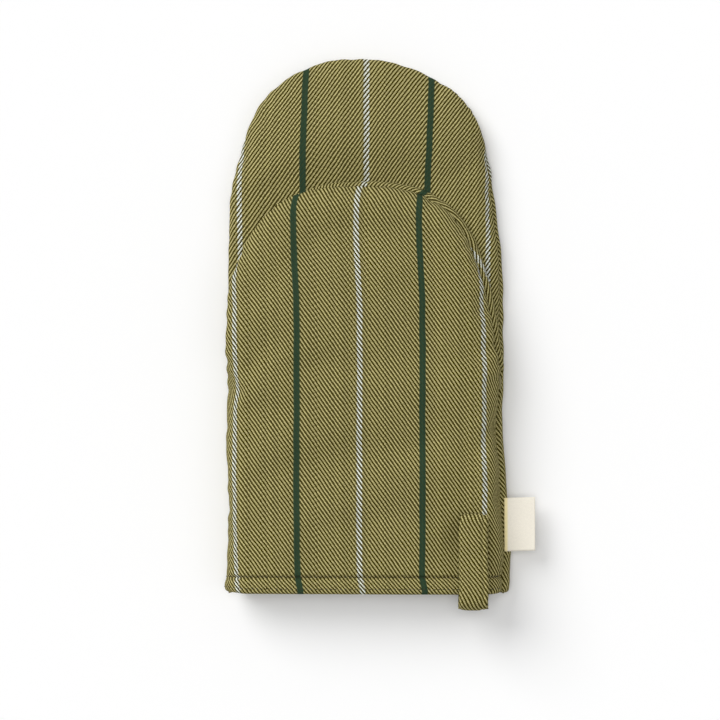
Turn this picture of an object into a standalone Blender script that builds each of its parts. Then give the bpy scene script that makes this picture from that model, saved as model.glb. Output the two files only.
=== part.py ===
"""An oven glove with a hand pocket and a thumb pocket, lying on its back.

The glove is sewn from quilted panels. Each panel has three layers: twill outside,
wadding in the middle and a thin lining inside. A back panel runs from the cuff to the
finger tips, a front panel runs from the cuff to the thumb tip, and between them the
palm panel comes down from the finger tips, folds at the crotch and runs up the thumb.

X is across the glove, +Y runs from the cuff to the finger tips and +Z is up, out of the
front. The origin is on the table under the middle of the glove.
"""

import math

import bmesh
import bpy
import numpy as np
from mathutils import Matrix

# Overall outline, measured along the glove from the cuff edge
LENGTH = 0.340
THUMB_LENGTH = 0.2615
CROTCH = 0.137
WIDTH = 0.174
ARCH_LENGTH = 0.125
ARCH_POWER = 2.5
CUFF_FLARE = 0.0022
FLARE_START = 0.100

# Cloth, wadding and lining, and the clearance that separate pieces keep
CLOTH = 0.0009
WADDING = 0.0030
LINING = 0.0005
GAP = 0.0003

# Heights of the hand space and the thumb space, and how the padded edges are rounded
HAND_SPACE = 0.0060
THUMB_SPACE = 0.0064
FOLD_GAP = 0.0006
SEAM_LAND = 0.0008
PALM_EDGE_EXTRA = 0.0020
EDGE_ROUND = 0.0090
FRONT_CROWN = 0.0020

# The palm swells where the thumb pocket leaves it free; a small free share stays flat
PALM_SWELL = 0.0115
FLAT_SHARE = 0.3
SWELL_MARGIN = 0.0020

# Hem, thread and the bar tacks at the crotch
HEM = 0.0125
HEM_STITCH = 0.0110
THREAD = 0.0005
TACK_LENGTH = 0.0080
TACK_THICKNESS = 0.0012

# Hanging loop of folded tape
LOOP_INSET = 0.0184
LOOP_WIDTH = 0.0190
LOOP_REACH = 0.0520
LOOP_OVERHANG = 0.0100
LOOP_TAIL = 0.0150
LOOP_EYE = 0.0050
TAPE = 0.0015

# Bare label tab in the right side seam
LABEL_CENTRE = 0.0435
LABEL_LENGTH = 0.0340
LABEL_REACH = 0.0190
LABEL_PLY = 0.00045
LABEL_SLIT = 0.0003

# How finely the curved stretches are divided
RIM_STEPS = 3
TOP_SHARES = (0.5, 1.0)
SWELL_SHARES = (0.25, 0.5, 0.75, 1.0)
SHARE_STEPS = 400
ARCH_STEPS = 8
NOSE_STEPS = 4
HEM_STEPS = 4
CUFF_THREAD_POINTS = 6
CORNER_STEPS = 3
LOOP_END_STEPS = 5
ROUND_STEPS = 6
FOLD_STEPS = 8
SLIT_STEPS = 4
SLOPE_ANGLE = 0.01
MERGE = 0.00001

# Sizes that follow from the ones above
WALL = CLOTH + GAP + WADDING + GAP + LINING
HEM_RADIUS = (WALL + GAP + CLOTH) / 2
PALM_Z = 2 * WALL + HAND_SPACE
THUMB_Z = PALM_Z + FOLD_GAP
FRONT_Z = THUMB_Z + 2 * WALL + THUMB_SPACE
FRONT_TOP = FRONT_Z + FRONT_CROWN
FOLD_Z = (PALM_Z + THUMB_Z) / 2
NOSE = WALL + PALM_EDGE_EXTRA + FOLD_GAP / 2
PALM_RIM = (WALL + PALM_EDGE_EXTRA - SEAM_LAND, WALL + PALM_EDGE_EXTRA - SEAM_LAND)
HAND_SEAM_Z = FOLD_Z - NOSE - GAP
THUMB_SEAM_Z = FOLD_Z + NOSE + GAP
BACK_RIM = (EDGE_ROUND, HAND_SEAM_Z - SEAM_LAND)
FRONT_RIM = (EDGE_ROUND, FRONT_Z - THUMB_SEAM_Z - SEAM_LAND)
CUFF_Y = -LENGTH / 2
CROTCH_Y = CUFF_Y + CROTCH
TIP_Y = CUFF_Y + LENGTH
THUMB_TIP_Y = CUFF_Y + THUMB_LENGTH
LOOP_CENTRE = WIDTH / 2 - LOOP_INSET

# Depths of the three layers below the outer face of a panel
LAYERS = {
    "outer": (0.0, CLOTH),
    "wadding": (CLOTH + GAP, CLOTH + GAP + WADDING),
    "lining": (WALL - LINING, WALL),
}

# Colour and roughness of each kind of material
FINISHES = {
    "outer": ((0.215, 0.185, 0.070), 0.90),
    "wadding": ((0.800, 0.780, 0.720), 0.95),
    "lining": ((0.240, 0.210, 0.095), 0.90),
    "thread": ((0.090, 0.080, 0.030), 0.80),
    "tape": ((0.200, 0.170, 0.065), 0.90),
    "label": ((0.830, 0.800, 0.680), 0.85),
}


def clear_scene():
    """Remove every object of the open scene."""
    for item in list(bpy.data.objects):
        bpy.data.objects.remove(item, do_unlink=True)


def make_collection():
    """The collection that holds the glove's pieces."""
    glove = bpy.data.collections.new("oven_glove")
    bpy.context.scene.collection.children.link(glove)
    return glove


def finish(item, kind):
    """Give the piece its own material of the named kind."""
    colour, roughness = FINISHES[kind]
    material = bpy.data.materials.new(item.name + "_" + kind)
    material.use_nodes = True
    shader = material.node_tree.nodes["Principled BSDF"]
    shader.inputs["Base Color"].default_value = (*colour, 1.0)
    shader.inputs["Roughness"].default_value = roughness
    item.data.materials.append(material)


def half_width(y):
    """Half the glove's width below the arches, with the cuff flaring a little."""
    along = np.clip((FLARE_START - (y - CUFF_Y)) / FLARE_START, 0.0, 1.0)
    return WIDTH / 2 + CUFF_FLARE * along * along * (3 - 2 * along)


def side_stations(heights):
    """Stations up the side: the edge point, the way inward and the point on the middle line."""
    return [((half_width(y), y), (-1.0, 0.0), (0.0, y)) for y in heights]


def arch_point(angle, start):
    """A point of the rounded end, a superellipse that begins at the height start."""
    x = WIDTH / 2 * max(math.cos(angle), 0.0) ** (2 / ARCH_POWER)
    y = start + ARCH_LENGTH * math.sin(angle) ** (2 / ARCH_POWER)
    return x, y


def arch_stations(tip, lowest):
    """Stations round the rounded end that closes at tip, none of them below lowest."""
    start = tip - ARCH_LENGTH
    first = math.asin(max((lowest - start) / ARCH_LENGTH, 0.0) ** (ARCH_POWER / 2))
    centre = (0.0, max(start, lowest))
    stations = []
    for step in range(1, ARCH_STEPS + 1):
        angle = first + (math.pi / 2 - first) * step / ARCH_STEPS
        edge = arch_point(angle, start)
        if step == ARCH_STEPS:
            stations.append(((0.0, tip), (0.0, -1.0), centre))
            continue
        before = arch_point(angle - SLOPE_ANGLE, start)
        after = arch_point(angle + SLOPE_ANGLE, start)
        along = np.array(after) - np.array(before)
        along /= np.linalg.norm(along)
        stations.append((edge, (-along[1], along[0]), centre))
    return stations


def flat_top(_start, _end):
    """Shares of the way from the rim to the middle line, with nothing raised."""
    return [(share, 0.0) for share in TOP_SHARES]


def crowned_top(_start, _end):
    """The front's crown, a parabola that is highest on the middle line."""
    return [(share, FRONT_CROWN * (1 - (1 - share) ** 2)) for share in TOP_SHARES]


def free_share(start, end):
    """The share of the way from start to end that the thumb pocket leaves free."""
    shares = np.linspace(0.0, 1.0, SHARE_STEPS + 1)
    way = start + (end - start) * shares[:, None]
    across = np.abs(way[:, 0]) / (WIDTH / 2)
    upward = np.maximum(way[:, 1] - (THUMB_TIP_Y - ARCH_LENGTH), 0.0) / ARCH_LENGTH
    covered = across**ARCH_POWER + upward**ARCH_POWER < 1
    return shares[covered.argmax()]


def swelling_top(start, end):
    """The palm's swell, a parabola between the rim and the thumb pocket's outline."""
    free = free_share(start, end)
    height = PALM_SWELL * max(free - FLAT_SHARE, 0.0) / (1 - FLAT_SHARE)
    reach = max(free, FLAT_SHARE) - SWELL_MARGIN / np.linalg.norm(end - start)
    tops = [(share * reach, height * 4 * share * (1 - share)) for share in SWELL_SHARES]
    return tops + [(1.0, 0.0)]


def rib(station, seam, crown, rim, top=flat_top):
    """Points from a seam edge over the rounded rim to the middle line.

    seam and crown are (y shift, z) at the edge and past the rim, and rim is the rounding's
    (width, height). What is left of the rise is an upright land at the seam, so that the
    layers under it meet their neighbours squarely. top gives the points past the rim, as
    shares of the way to the middle line and how far each is raised.
    """
    (x, y), inward, middle = station
    seam = np.array(seam)
    rise = np.array(crown) - seam
    round_share = rim[1] / np.linalg.norm(rise)
    points = [(x, y + seam[0], seam[1])]
    for step in range(RIM_STEPS + 1):
        angle = math.pi / 2 * step / RIM_STEPS
        inset = rim[0] * (1 - math.cos(angle))
        shift, z = seam + rise * (1 - round_share * (1 - math.sin(angle)))
        points.append((x + inward[0] * inset, y + inward[1] * inset + shift, z))
    last = np.array(points[-1])
    end = np.array([middle[0], middle[1] + crown[0], crown[1]])
    for share, raised in top(last, end):
        point = last + (end - last) * share
        point[2] += raised
        points.append(tuple(point))
    return np.array(points)


def outward_in_section(points, facing):
    """Outward offsets of a rib's points across the glove that keep parallel faces parallel."""
    steps = np.diff(points[:, [0, 2]], axis=0)
    steps /= np.linalg.norm(steps, axis=1)[:, None]
    faces = np.stack([steps[:, 1], -steps[:, 0]], axis=1) * facing
    before = np.vstack([[1.0, 0.0], faces])
    after = np.vstack([faces, [0.0, facing]])
    together = before + after
    mitre = together / (1 + np.sum(before * after, axis=1))[:, None]
    return np.stack([mitre[:, 0], 0 * mitre[:, 0], mitre[:, 1]], axis=1)


def hem_ribs(first_rib, facing):
    """Ribs that carry the outer cloth round the cuff edge and up inside as far as the hem."""
    outward = outward_in_section(first_rib, facing)
    ribs = [first_rib - outward * 2 * HEM_RADIUS + np.array([0.0, HEM - HEM_RADIUS, 0.0])]
    for step in range(HEM_STEPS):
        angle = math.pi * (1 - step / HEM_STEPS)
        depth = HEM_RADIUS * (1 - math.cos(angle))
        back = np.array([0.0, -HEM_RADIUS * math.sin(angle), 0.0])
        ribs.append(first_rib - outward * depth + back)
    return ribs


def nose_path(radius, side):
    """Seam points (y, z) that follow the round end of the crotch fold below or above it."""
    path = []
    for step in range(NOSE_STEPS // 2 + 1):
        angle = math.pi * step / NOSE_STEPS
        y = CROTCH_Y - radius * math.cos(angle)
        z = FOLD_Z + side * max(radius * math.sin(angle), GAP / 2)
        path.append((y, z))
    return path


def cuff_stations(side):
    """Side stations from the hem to the crotch, with the seam height at each of them."""
    path = nose_path(NOSE + GAP, side)
    level = FOLD_Z + side * GAP / 2
    low = CUFF_Y + HEM_RADIUS
    stretch = path[0][0] - low
    heights = [low, low + stretch / 3, low + 2 * stretch / 3]
    return [(y, level) for y in heights] + path


def back_ribs():
    """Ribs of the back panel, from the hem to the finger tips; it is flat on the table."""
    ribs = []
    for y, seam_z in cuff_stations(-1):
        ribs.append(rib(side_stations([y])[0], (0, seam_z), (0, 0), BACK_RIM))
    start = max(TIP_Y - ARCH_LENGTH, CROTCH_Y + NOSE)
    stations = side_stations([(CROTCH_Y + start) / 2, start]) + arch_stations(TIP_Y, start)
    for station in stations:
        ribs.append(rib(station, (0, HAND_SEAM_Z), (0, 0), BACK_RIM))
    return ribs


def palm_ribs():
    """Ribs of the palm panel, from the top of the crotch fold round it to the finger tips."""
    ribs = []
    station = side_stations([CROTCH_Y])[0]
    for step in range(NOSE_STEPS + 1):
        angle = math.pi * (0.5 - step / NOSE_STEPS)
        turn = np.array([-math.cos(angle), math.sin(angle)])
        lift = np.array([0.0, FOLD_Z])
        crown = FOLD_GAP / 2 * turn + lift
        ribs.append(rib(station, NOSE * turn + lift, crown, PALM_RIM, swelling_top))
    start = max(TIP_Y - ARCH_LENGTH, CROTCH_Y + NOSE)
    stations = side_stations([(CROTCH_Y + start) / 2, start]) + arch_stations(TIP_Y, start)
    for station in stations:
        ribs.append(rib(station, (0, FOLD_Z - NOSE), (0, PALM_Z), PALM_RIM, swelling_top))
    return ribs


def thumb_stations(start):
    """Stations of the thumb pocket from just above the crotch to the thumb tip."""
    bend = max(THUMB_TIP_Y - ARCH_LENGTH, start + NOSE)
    return side_stations([start, bend]) + arch_stations(THUMB_TIP_Y, bend)


def thumb_palm_ribs():
    """Ribs of the thumb's underside, from where the crotch fold ends to the thumb tip."""
    stations = thumb_stations(CROTCH_Y + GAP)
    return [rib(s, (0, FOLD_Z + NOSE), (0, THUMB_Z), PALM_RIM) for s in stations]


def thumb_front_ribs():
    """Ribs of the front panel over the thumb, from the crease at the crotch to the tip."""
    stations = thumb_stations(CROTCH_Y + GAP / 2)
    return [rib(s, (0, THUMB_SEAM_Z), (0, FRONT_Z), FRONT_RIM, crowned_top) for s in stations]


def cuff_front_ribs():
    """Ribs of the front panel over the cuff, from the hem to the crease at the crotch."""
    ribs = []
    for y, seam_z in cuff_stations(1):
        y = min(y, CROTCH_Y - GAP / 2)
        station = side_stations([y])[0]
        ribs.append(rib(station, (0, seam_z), (0, FRONT_Z), FRONT_RIM, crowned_top))
    return ribs


def half_skin(name, ribs, facing):
    """The right half of a panel's outer face as an open mesh, facing up (1) or down (-1)."""
    bm = bmesh.new()
    rows = [[bm.verts.new(point) for point in points] for points in ribs]
    for lower, upper in zip(rows, rows[1:]):
        for j in range(len(lower) - 1):
            corners = [lower[j], upper[j], upper[j + 1], lower[j + 1]]
            bm.faces.new(corners if facing > 0 else corners[::-1])
    bmesh.ops.remove_doubles(bm, verts=bm.verts, dist=MERGE)
    mesh = bpy.data.meshes.new(name)
    bm.to_mesh(mesh)
    bm.free()
    mesh.shade_smooth()
    return mesh


def add_layer(collection, name, ribs, facing, layer):
    """One layer of a panel: the half skin, mirrored and thickened at the layer's own depth."""
    item = bpy.data.objects.new(name, half_skin(name, ribs, facing))
    collection.objects.link(item)
    mirror = item.modifiers.new("Mirror", "MIRROR")
    mirror.use_axis = (True, False, False)
    mirror.use_clip = True
    mirror.merge_threshold = MERGE
    upper, lower = LAYERS[layer]
    thicken = item.modifiers.new("Layer", "SOLIDIFY")
    thicken.thickness = lower - upper
    thicken.offset = -(upper + lower) / (lower - upper)
    thicken.use_even_offset = True
    finish(item, layer)
    return item


def add_panel(collection, name, ribs, facing, hemmed=False):
    """The three layers of a panel; the outer cloth of a hemmed one turns in at the cuff."""
    for layer in LAYERS:
        turned = hemmed and layer == "outer"
        all_ribs = hem_ribs(ribs[0], facing) + ribs if turned else ribs
        add_layer(collection, name + "_" + layer, all_ribs, facing, layer)


def add_cord(collection, name, points, thickness, kind):
    """A thread or a bar of stitches: a round cord through the points, closed at its ends."""
    curve = bpy.data.curves.new(name, "CURVE")
    curve.dimensions = "3D"
    curve.bevel_depth = thickness / 2
    curve.bevel_resolution = 1
    curve.use_fill_caps = True
    spline = curve.splines.new("POLY")
    spline.points.add(len(points) - 1)
    for target, point in zip(spline.points, points):
        target.co = (*point, 1.0)
    item = bpy.data.objects.new(name, curve)
    collection.objects.link(item)
    finish(item, kind)
    return item


def add_extrusion(collection, name, outlines, width, kind):
    """A flat outline, with any holes after it, given a width along its own Z."""
    curve = bpy.data.curves.new(name, "CURVE")
    curve.dimensions = "2D"
    curve.fill_mode = "BOTH"
    curve.extrude = width / 2
    for outline in outlines:
        spline = curve.splines.new("POLY")
        spline.points.add(len(outline) - 1)
        for target, point in zip(spline.points, outline):
            target.co = (*point, 0.0, 1.0)
        spline.use_cyclic_u = True
    item = bpy.data.objects.new(name, curve)
    collection.objects.link(item)
    finish(item, kind)
    return item


def arc(centre, radius, start, end, steps):
    """Points of a circular arc between two angles in degrees, both ends included."""
    angles = np.radians(np.linspace(start, end, steps + 1))
    return [(centre[0] + radius * math.cos(a), centre[1] + radius * math.sin(a)) for a in angles]


def inset_route(stations, inset, z):
    """A route inside the seam: each station's edge point moved inward, then mirrored back."""
    right = []
    for (x, y), inward, _middle in stations:
        right.append((x + inward[0] * inset, y + inward[1] * inset, z))
    left = [(-x, y, z) for x, y, z in right if x > inset / 10]
    return right + left[::-1]


def build_panels(glove):
    """The five quilted panels, three layers each."""
    add_panel(glove, "back", back_ribs(), -1, hemmed=True)
    add_panel(glove, "palm", palm_ribs(), 1)
    add_panel(glove, "cuff_front", cuff_front_ribs(), 1, hemmed=True)
    add_panel(glove, "thumb_front", thumb_front_ribs(), 1)
    add_panel(glove, "thumb_palm", thumb_palm_ribs(), -1)


def build_threads(glove):
    """Seam threads inside the pockets, topstitching on the hem and the two bar tacks."""
    inset = WALL + GAP + THREAD / 2
    start = max(TIP_Y - ARCH_LENGTH, CROTCH_Y + NOSE)
    hand = side_stations([CROTCH_Y, start]) + arch_stations(TIP_Y, start)
    route = inset_route(hand, inset, HAND_SEAM_Z + GAP / 2)
    add_cord(glove, "hand_seam_thread", route, THREAD, "thread")
    thumb = thumb_stations(CROTCH_Y + GAP)
    route = inset_route(thumb, inset, THUMB_SEAM_Z - GAP / 2)
    add_cord(glove, "thumb_seam_thread", route, THREAD, "thread")
    low = CUFF_Y + HEM + GAP
    high = CROTCH_Y - NOSE - 2 * GAP
    heights = np.linspace(low, high, CUFF_THREAD_POINTS)
    for side, label in ((1, "right"), (-1, "left")):
        route = [(side * (half_width(y) - inset), y, FOLD_Z) for y in heights]
        add_cord(glove, "cuff_seam_thread_" + label, route, THREAD, "thread")
        x = side * (half_width(CROTCH_Y) + GAP + TACK_THICKNESS / 2)
        y = CROTCH_Y - NOSE
        route = [(x, y, FOLD_Z + TACK_LENGTH * share) for share in (-0.5, 0.5)]
        add_cord(glove, "crotch_tack_" + label, route, TACK_THICKNESS, "thread")
    build_hem_stitches(glove)


def build_hem_stitches(glove):
    """A row of topstitching over the front of the hem and one on the inside of the back."""
    y = CUFF_Y + HEM_STITCH
    station = side_stations([y])[0]
    level = FOLD_Z + GAP / 2
    front = rib(station, (0, level), (0, FRONT_Z), FRONT_RIM, crowned_top)
    out = outward_in_section(front, 1)
    lift = GAP + THREAD / 2
    add_hem_stitch(glove, "front_hem_stitch", (front + out * lift)[1:])
    level = FOLD_Z - GAP / 2
    back = rib(station, (0, level), (0, 0), BACK_RIM)
    out = outward_in_section(back, -1)
    lift = 2 * HEM_RADIUS + GAP + THREAD / 2
    add_hem_stitch(glove, "back_hem_stitch", (back - out * lift)[1:])


def add_hem_stitch(glove, name, half):
    """A thread along a half section and its mirror image."""
    left = [(-x, y, z) for x, y, z in half[:-1]]
    add_cord(glove, name, [tuple(p) for p in half] + left[::-1], THREAD, "thread")


def loop_axis():
    """Where the hanging loop bends: (y, z) of the round end of its sewn tail."""
    y = CUFF_Y - LOOP_OVERHANG + TAPE
    z = FRONT_Z - 2 * HEM_RADIUS - GAP - TAPE
    return y, z


def place_side_profile(item, axis, x):
    """Stand a flat outline upright across the glove, with its own origin on the axis."""
    item.rotation_euler = (math.pi / 2, 0.0, math.pi / 2)
    item.location = (x, *axis)


def build_loop(glove):
    """The hanging loop, folded up over the front, and the tail that is sewn in the cuff."""
    axis = loop_axis()
    tail_end = CUFF_Y + LOOP_TAIL - axis[0]
    tail = [(tail_end, -TAPE), (tail_end, TAPE)] + arc((0, 0), TAPE, 90, 270, ROUND_STEPS)
    root = add_extrusion(glove, "loop_tail", [tail], LOOP_WIDTH, "tape")
    place_side_profile(root, axis, LOOP_CENTRE)

    half_eye = LOOP_EYE / 2
    outer_radius = half_eye + TAPE
    inner_x = LOOP_CENTRE - LOOP_WIDTH / 2
    across = 1 - min(inner_x / (WIDTH / 2 - EDGE_ROUND), 1.0)
    swell = FRONT_CROWN * (1 - (1 - across) ** 2)
    bottom = FRONT_Z + swell + 2 * GAP + THREAD - axis[1]
    middle = bottom + outer_radius
    fold = CUFF_Y + LOOP_REACH - outer_radius - axis[0]
    eye_start = CUFF_Y - axis[0]
    outline = [(TAPE, TAPE + GAP), (TAPE, bottom - TAPE)]
    outline += arc((2 * TAPE, bottom - TAPE), TAPE, 180, 90, CORNER_STEPS)[1:]
    outline += arc((fold, middle), outer_radius, -90, 90, FOLD_STEPS)
    cuff_end = (outer_radius - TAPE, middle)
    outline += arc(cuff_end, outer_radius, 90, 180, LOOP_END_STEPS)
    outline += [(-TAPE, TAPE + GAP)]
    eye = arc((fold, middle), half_eye, -90, 90, FOLD_STEPS)
    eye += arc((eye_start + half_eye, middle), half_eye, 90, 270, ROUND_STEPS)
    item = add_extrusion(glove, "hanging_loop", [outline, eye], LOOP_WIDTH, "tape")
    place_side_profile(item, axis, LOOP_CENTRE)


def build_label(glove):
    """The bare label tab: a ribbon folded in half, with both ends in the right side seam."""
    radius = LABEL_PLY + LABEL_SLIT / 2
    low = CUFF_Y + LABEL_CENTRE - LABEL_LENGTH / 2
    edge = half_width(low)
    far = LABEL_REACH - 2 * radius
    outline = arc((0, 0), radius, 90, 270, ROUND_STEPS)
    outline += arc((far, 0), radius, -90, 90, ROUND_STEPS)
    half = LABEL_SLIT / 2
    slit = arc((0, 0), half, 90, 270, SLIT_STEPS) + arc((far, 0), half, -90, 90, SLIT_STEPS)
    item = add_extrusion(glove, "side_label", [outline, slit], LABEL_LENGTH, "label")
    item.rotation_euler = (math.pi / 2, 0.0, 0.0)
    item.location = (edge + GAP + radius, CUFF_Y + LABEL_CENTRE, FOLD_Z)


def hang_thumb(glove):
    """Hang the thumb pocket's pieces on an empty at the crease that the thumb turns about."""
    hinge = bpy.data.objects.new("thumb_hinge", None)
    hinge.location = (0.0, CROTCH_Y, FRONT_TOP)
    glove.objects.link(hinge)
    for item in glove.objects:
        if item.name.startswith("thumb_") and item != hinge:
            item.parent = hinge
            item.matrix_parent_inverse = Matrix.Translation(hinge.location).inverted()


def main():
    """Build the oven glove."""
    clear_scene()
    glove = make_collection()
    build_panels(glove)
    build_threads(glove)
    build_loop(glove)
    build_label(glove)
    hang_thumb(glove)


main()
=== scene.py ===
# %% [markdown]
# # A sewn oven glove
# The glove is a hand pocket with a shorter thumb pocket on its palm. Both are quilted: twill
# outside, wadding in the middle, lining inside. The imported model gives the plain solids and
# says what moves. This lesson dresses every one of them in cloth that was cut flat, sewn,
# padded and turned, and it takes its heights and lengths from those solids.

import math

import bpy
import numpy as np
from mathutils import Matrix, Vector


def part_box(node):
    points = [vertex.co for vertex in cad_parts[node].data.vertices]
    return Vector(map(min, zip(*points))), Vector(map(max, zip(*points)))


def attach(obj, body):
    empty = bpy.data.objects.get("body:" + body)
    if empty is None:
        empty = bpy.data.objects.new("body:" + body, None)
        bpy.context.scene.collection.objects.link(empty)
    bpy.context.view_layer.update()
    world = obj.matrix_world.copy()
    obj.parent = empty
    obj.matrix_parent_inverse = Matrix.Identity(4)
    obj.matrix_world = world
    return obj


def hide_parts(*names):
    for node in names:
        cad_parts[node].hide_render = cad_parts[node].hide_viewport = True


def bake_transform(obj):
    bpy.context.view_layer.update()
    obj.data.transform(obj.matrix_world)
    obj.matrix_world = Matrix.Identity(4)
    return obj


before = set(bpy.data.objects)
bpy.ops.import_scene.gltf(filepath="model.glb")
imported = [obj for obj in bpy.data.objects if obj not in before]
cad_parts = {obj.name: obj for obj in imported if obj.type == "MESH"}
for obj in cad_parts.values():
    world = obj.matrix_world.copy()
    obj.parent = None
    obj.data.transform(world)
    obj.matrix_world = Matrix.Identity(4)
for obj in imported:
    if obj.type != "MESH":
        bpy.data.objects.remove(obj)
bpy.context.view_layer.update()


def new_object(name, data):
    """An object that holds the data, put into the scene."""
    item = bpy.data.objects.new(name, data)
    bpy.context.scene.collection.objects.link(item)
    return item


# %% [markdown]
# ## Sizes
# Lengths and heights are read from the solids, so the cloth lands where they are. What only
# cloth has, such as the height of a seam or the width of a hem, is given here in metres.

# %% Sizes read from the frame
back_low, back_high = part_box("back_outer")
thumb_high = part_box("thumb_front_outer")[1]
CROTCH_Y = -0.033
FRONT_CROWN = 0.0020
FOLD_GAP = 0.0006

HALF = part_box("palm_outer")[1].x
CUFF_Y = back_low.y
TIP_Y = back_high.y
THUMB_TIP_Y = thumb_high.y
THUMB_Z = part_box("thumb_palm_outer")[0].z
PALM_Z = THUMB_Z - FOLD_GAP
FRONT_Z = thumb_high.z - FRONT_CROWN
FOLD_Z = (PALM_Z + THUMB_Z) / 2

# %% Sizes of the cloth
HAND_SEAM_Z = 0.0087
THUMB_SEAM_Z = 0.0239
CLOTH = 0.0009
WADDING = 0.0025
LINING = 0.0005
WADDING_DEPTH = 0.0027
LINING_DEPTH = 0.0045
HEM_RADIUS = 0.0031
HEM = 0.0125
HEM_STITCH = 0.0110
stitch_y = CUFF_Y + HEM_STITCH
print("half width", round(HALF, 4), "front", round(FRONT_Z, 4), "palm", round(PALM_Z, 4))

# %% [markdown]
# ## Camera
# The glove was seen straight from above. The camera stands high over it, so that its edges
# hardly lean, and its field is as wide as the photograph is at the glove's middle height.

# %% Camera
PIXEL = 0.0006355
IMAGE = 720
CAMERA_Z = 2.0
MIDDLE_Z = 0.016
CENTRE = (-0.0032, -0.0219)
camera_data = bpy.data.cameras.new("camera")
camera_data.sensor_width = 36.0
camera_data.lens = camera_data.sensor_width * (CAMERA_Z - MIDDLE_Z) / (IMAGE * PIXEL)
camera = new_object("camera", camera_data)
camera.location = (*CENTRE, CAMERA_Z)
bpy.context.scene.camera = camera
print("lens", round(camera_data.lens, 1))

# %% [markdown]
# ## Helpers for smooth lines
# A sewn edge is never quite regular. A few offsets are enough to say where it swells and
# where it draws in, if the steps between them are rounded off. The helpers below do that,
# and they measure a line and find points along it.


# %% Smooth lines
def ease(share):
    """A step from 0 to 1 with flat ends: 3t^2 - 2t^3, and t is held between 0 and 1."""
    t = np.clip(share, 0.0, 1.0)
    return t * t * (3 - 2 * t)


def rounded(values, reach):
    """Each value becomes a bell-weighted mean of those within three times reach steps."""
    spread = int(3 * reach) + 1
    weights = np.exp(-0.5 * (np.arange(-spread, spread + 1) / reach) ** 2)
    padded = np.pad(values, spread, mode="edge")
    return np.convolve(padded, weights / weights.sum(), mode="valid")


def keyed(along, keys, reach=6.0):
    """Offsets in millimetres at a few places (mm), joined by lines and rounded off."""
    places, offsets = np.array(keys, float).T / 1000
    return rounded(np.interp(along, places, offsets), reach)


def waves(along, seed, shortest, longest, count=9):
    """A sum of sine waves with random lengths and starts, about as high as 1."""
    random = np.random.default_rng(seed)
    lengths = random.uniform(shortest, longest, count)
    starts = random.uniform(0, 2 * np.pi, count)
    turned = 2 * np.pi * along[..., None] / lengths + starts
    return np.sin(turned).sum(-1) / math.sqrt(count / 2)


def bell(offset):
    """A smooth bump of height 1 that is gone some two widths away: exp(-offset^2)."""
    return np.exp(-(offset**2))


def unit(vectors):
    """Vectors divided by their lengths."""
    return vectors / np.linalg.norm(vectors, axis=-1)[..., None]


def length_along(line):
    """How far along a line each of its points is from the first."""
    return np.r_[0, np.cumsum(np.linalg.norm(np.diff(line, axis=0), axis=1))]


def at_lengths(places, length, line):
    """The points, or other rows of values, at given places along a line."""
    return np.stack([np.interp(places, length, values) for values in line.T], axis=-1)


# %% [markdown]
# ## Outlines of the two pockets
# Each pocket has straight sides and a rounded end. A superellipse gives that end its square
# shoulders. Small offsets along the outward normal then make the hand pocket lean and the
# cuff flare as on the real one. Distances along the edge are counted from the tip, with the
# left side negative.

# %% Outlines
STEP = 0.001
ARCH_LENGTH = 0.125
ARCH_POWER = 2.5

# The place along the edge and the offset there, both in millimetres.
HAND_KEYS = [(-390, 1.3), (-360, 0.1), (-335, 0.1), (-300, 1.0), (-260, 0.1), (-150, 0.0)]
HAND_KEYS += [(-121, -0.7), (-100, -0.9), (-88, 0.5), (-66, 0.6), (-50, -0.7), (-22, -0.8)]
HAND_KEYS += [(0, -1.0), (14, -1.9), (28, -3.3), (45, -3.9), (56, -2.6), (68, -0.8)]
HAND_KEYS += [(88, -0.1), (105, -1.4), (120, -2.5), (135, -3.0), (149, -2.5), (160, -1.6)]
HAND_KEYS += [(172, 0.0), (195, 1.3), (254, 1.3), (283, 0.2), (295, 1.3), (312, 2.6)]
HAND_KEYS += [(331, 3.9), (357, 6.2), (375, 5.4), (390, 4.4)]
THUMB_KEYS = [(-174, 0.1), (-135, 2.2), (-122, 4.0), (-101, 3.0), (-78, 2.9), (-67, 2.6)]
THUMB_KEYS += [(-56, 1.3), (-42, 0.7), (-16, -0.2), (0, 0.0), (18, 0.0), (44, 0.8), (71, 0.7)]
THUMB_KEYS += [(85, -0.6), (98, -1.7), (114, -2.2), (130, -1.9), (148, -0.9), (172, 0.8)]


def edge_of(points):
    """Outward normals of a line that runs clockwise: its direction turned left, rounded."""
    along = np.gradient(points, axis=0)
    normals = np.stack([-along[:, 1], along[:, 0]], axis=1)
    return unit(np.stack([rounded(values, 3) for values in normals.T], axis=1))


def pocket_outline(tip, keys):
    """Left side, end and right side: x = w cos^(2/n) t, y = top - a + a sin^(2/n) t."""
    turn = np.linspace(0.0, np.pi / 2, 900)
    x = HALF * np.abs(np.cos(turn)) ** (2 / ARCH_POWER)
    y = tip - ARCH_LENGTH * (1 - np.sin(turn) ** (2 / ARCH_POWER))
    rise = np.arange(CUFF_Y - 0.01, tip - ARCH_LENGTH, STEP)
    right = np.stack([np.r_[rise * 0 + HALF, x], np.r_[rise, y]], axis=1)
    line = np.vstack([right * [-1, 1], right[::-1][1:]])
    along = length_along(line)
    along -= along[len(right) - 1]
    even = np.arange(along[0], along[-1], STEP)
    points = at_lengths(even, along, line)
    points = points + edge_of(points) * keyed(even, keys)[:, None]
    return {"points": points, "normals": edge_of(points), "along": even}


def side_x(outline, y, side):
    """Where the outline's left (-1) or right (1) side is at the height y."""
    part = outline["along"] * side > 0
    line = outline["points"][part]
    order = np.argsort(line[:, 1])
    return np.interp(y, line[order, 1], line[order, 0])


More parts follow.
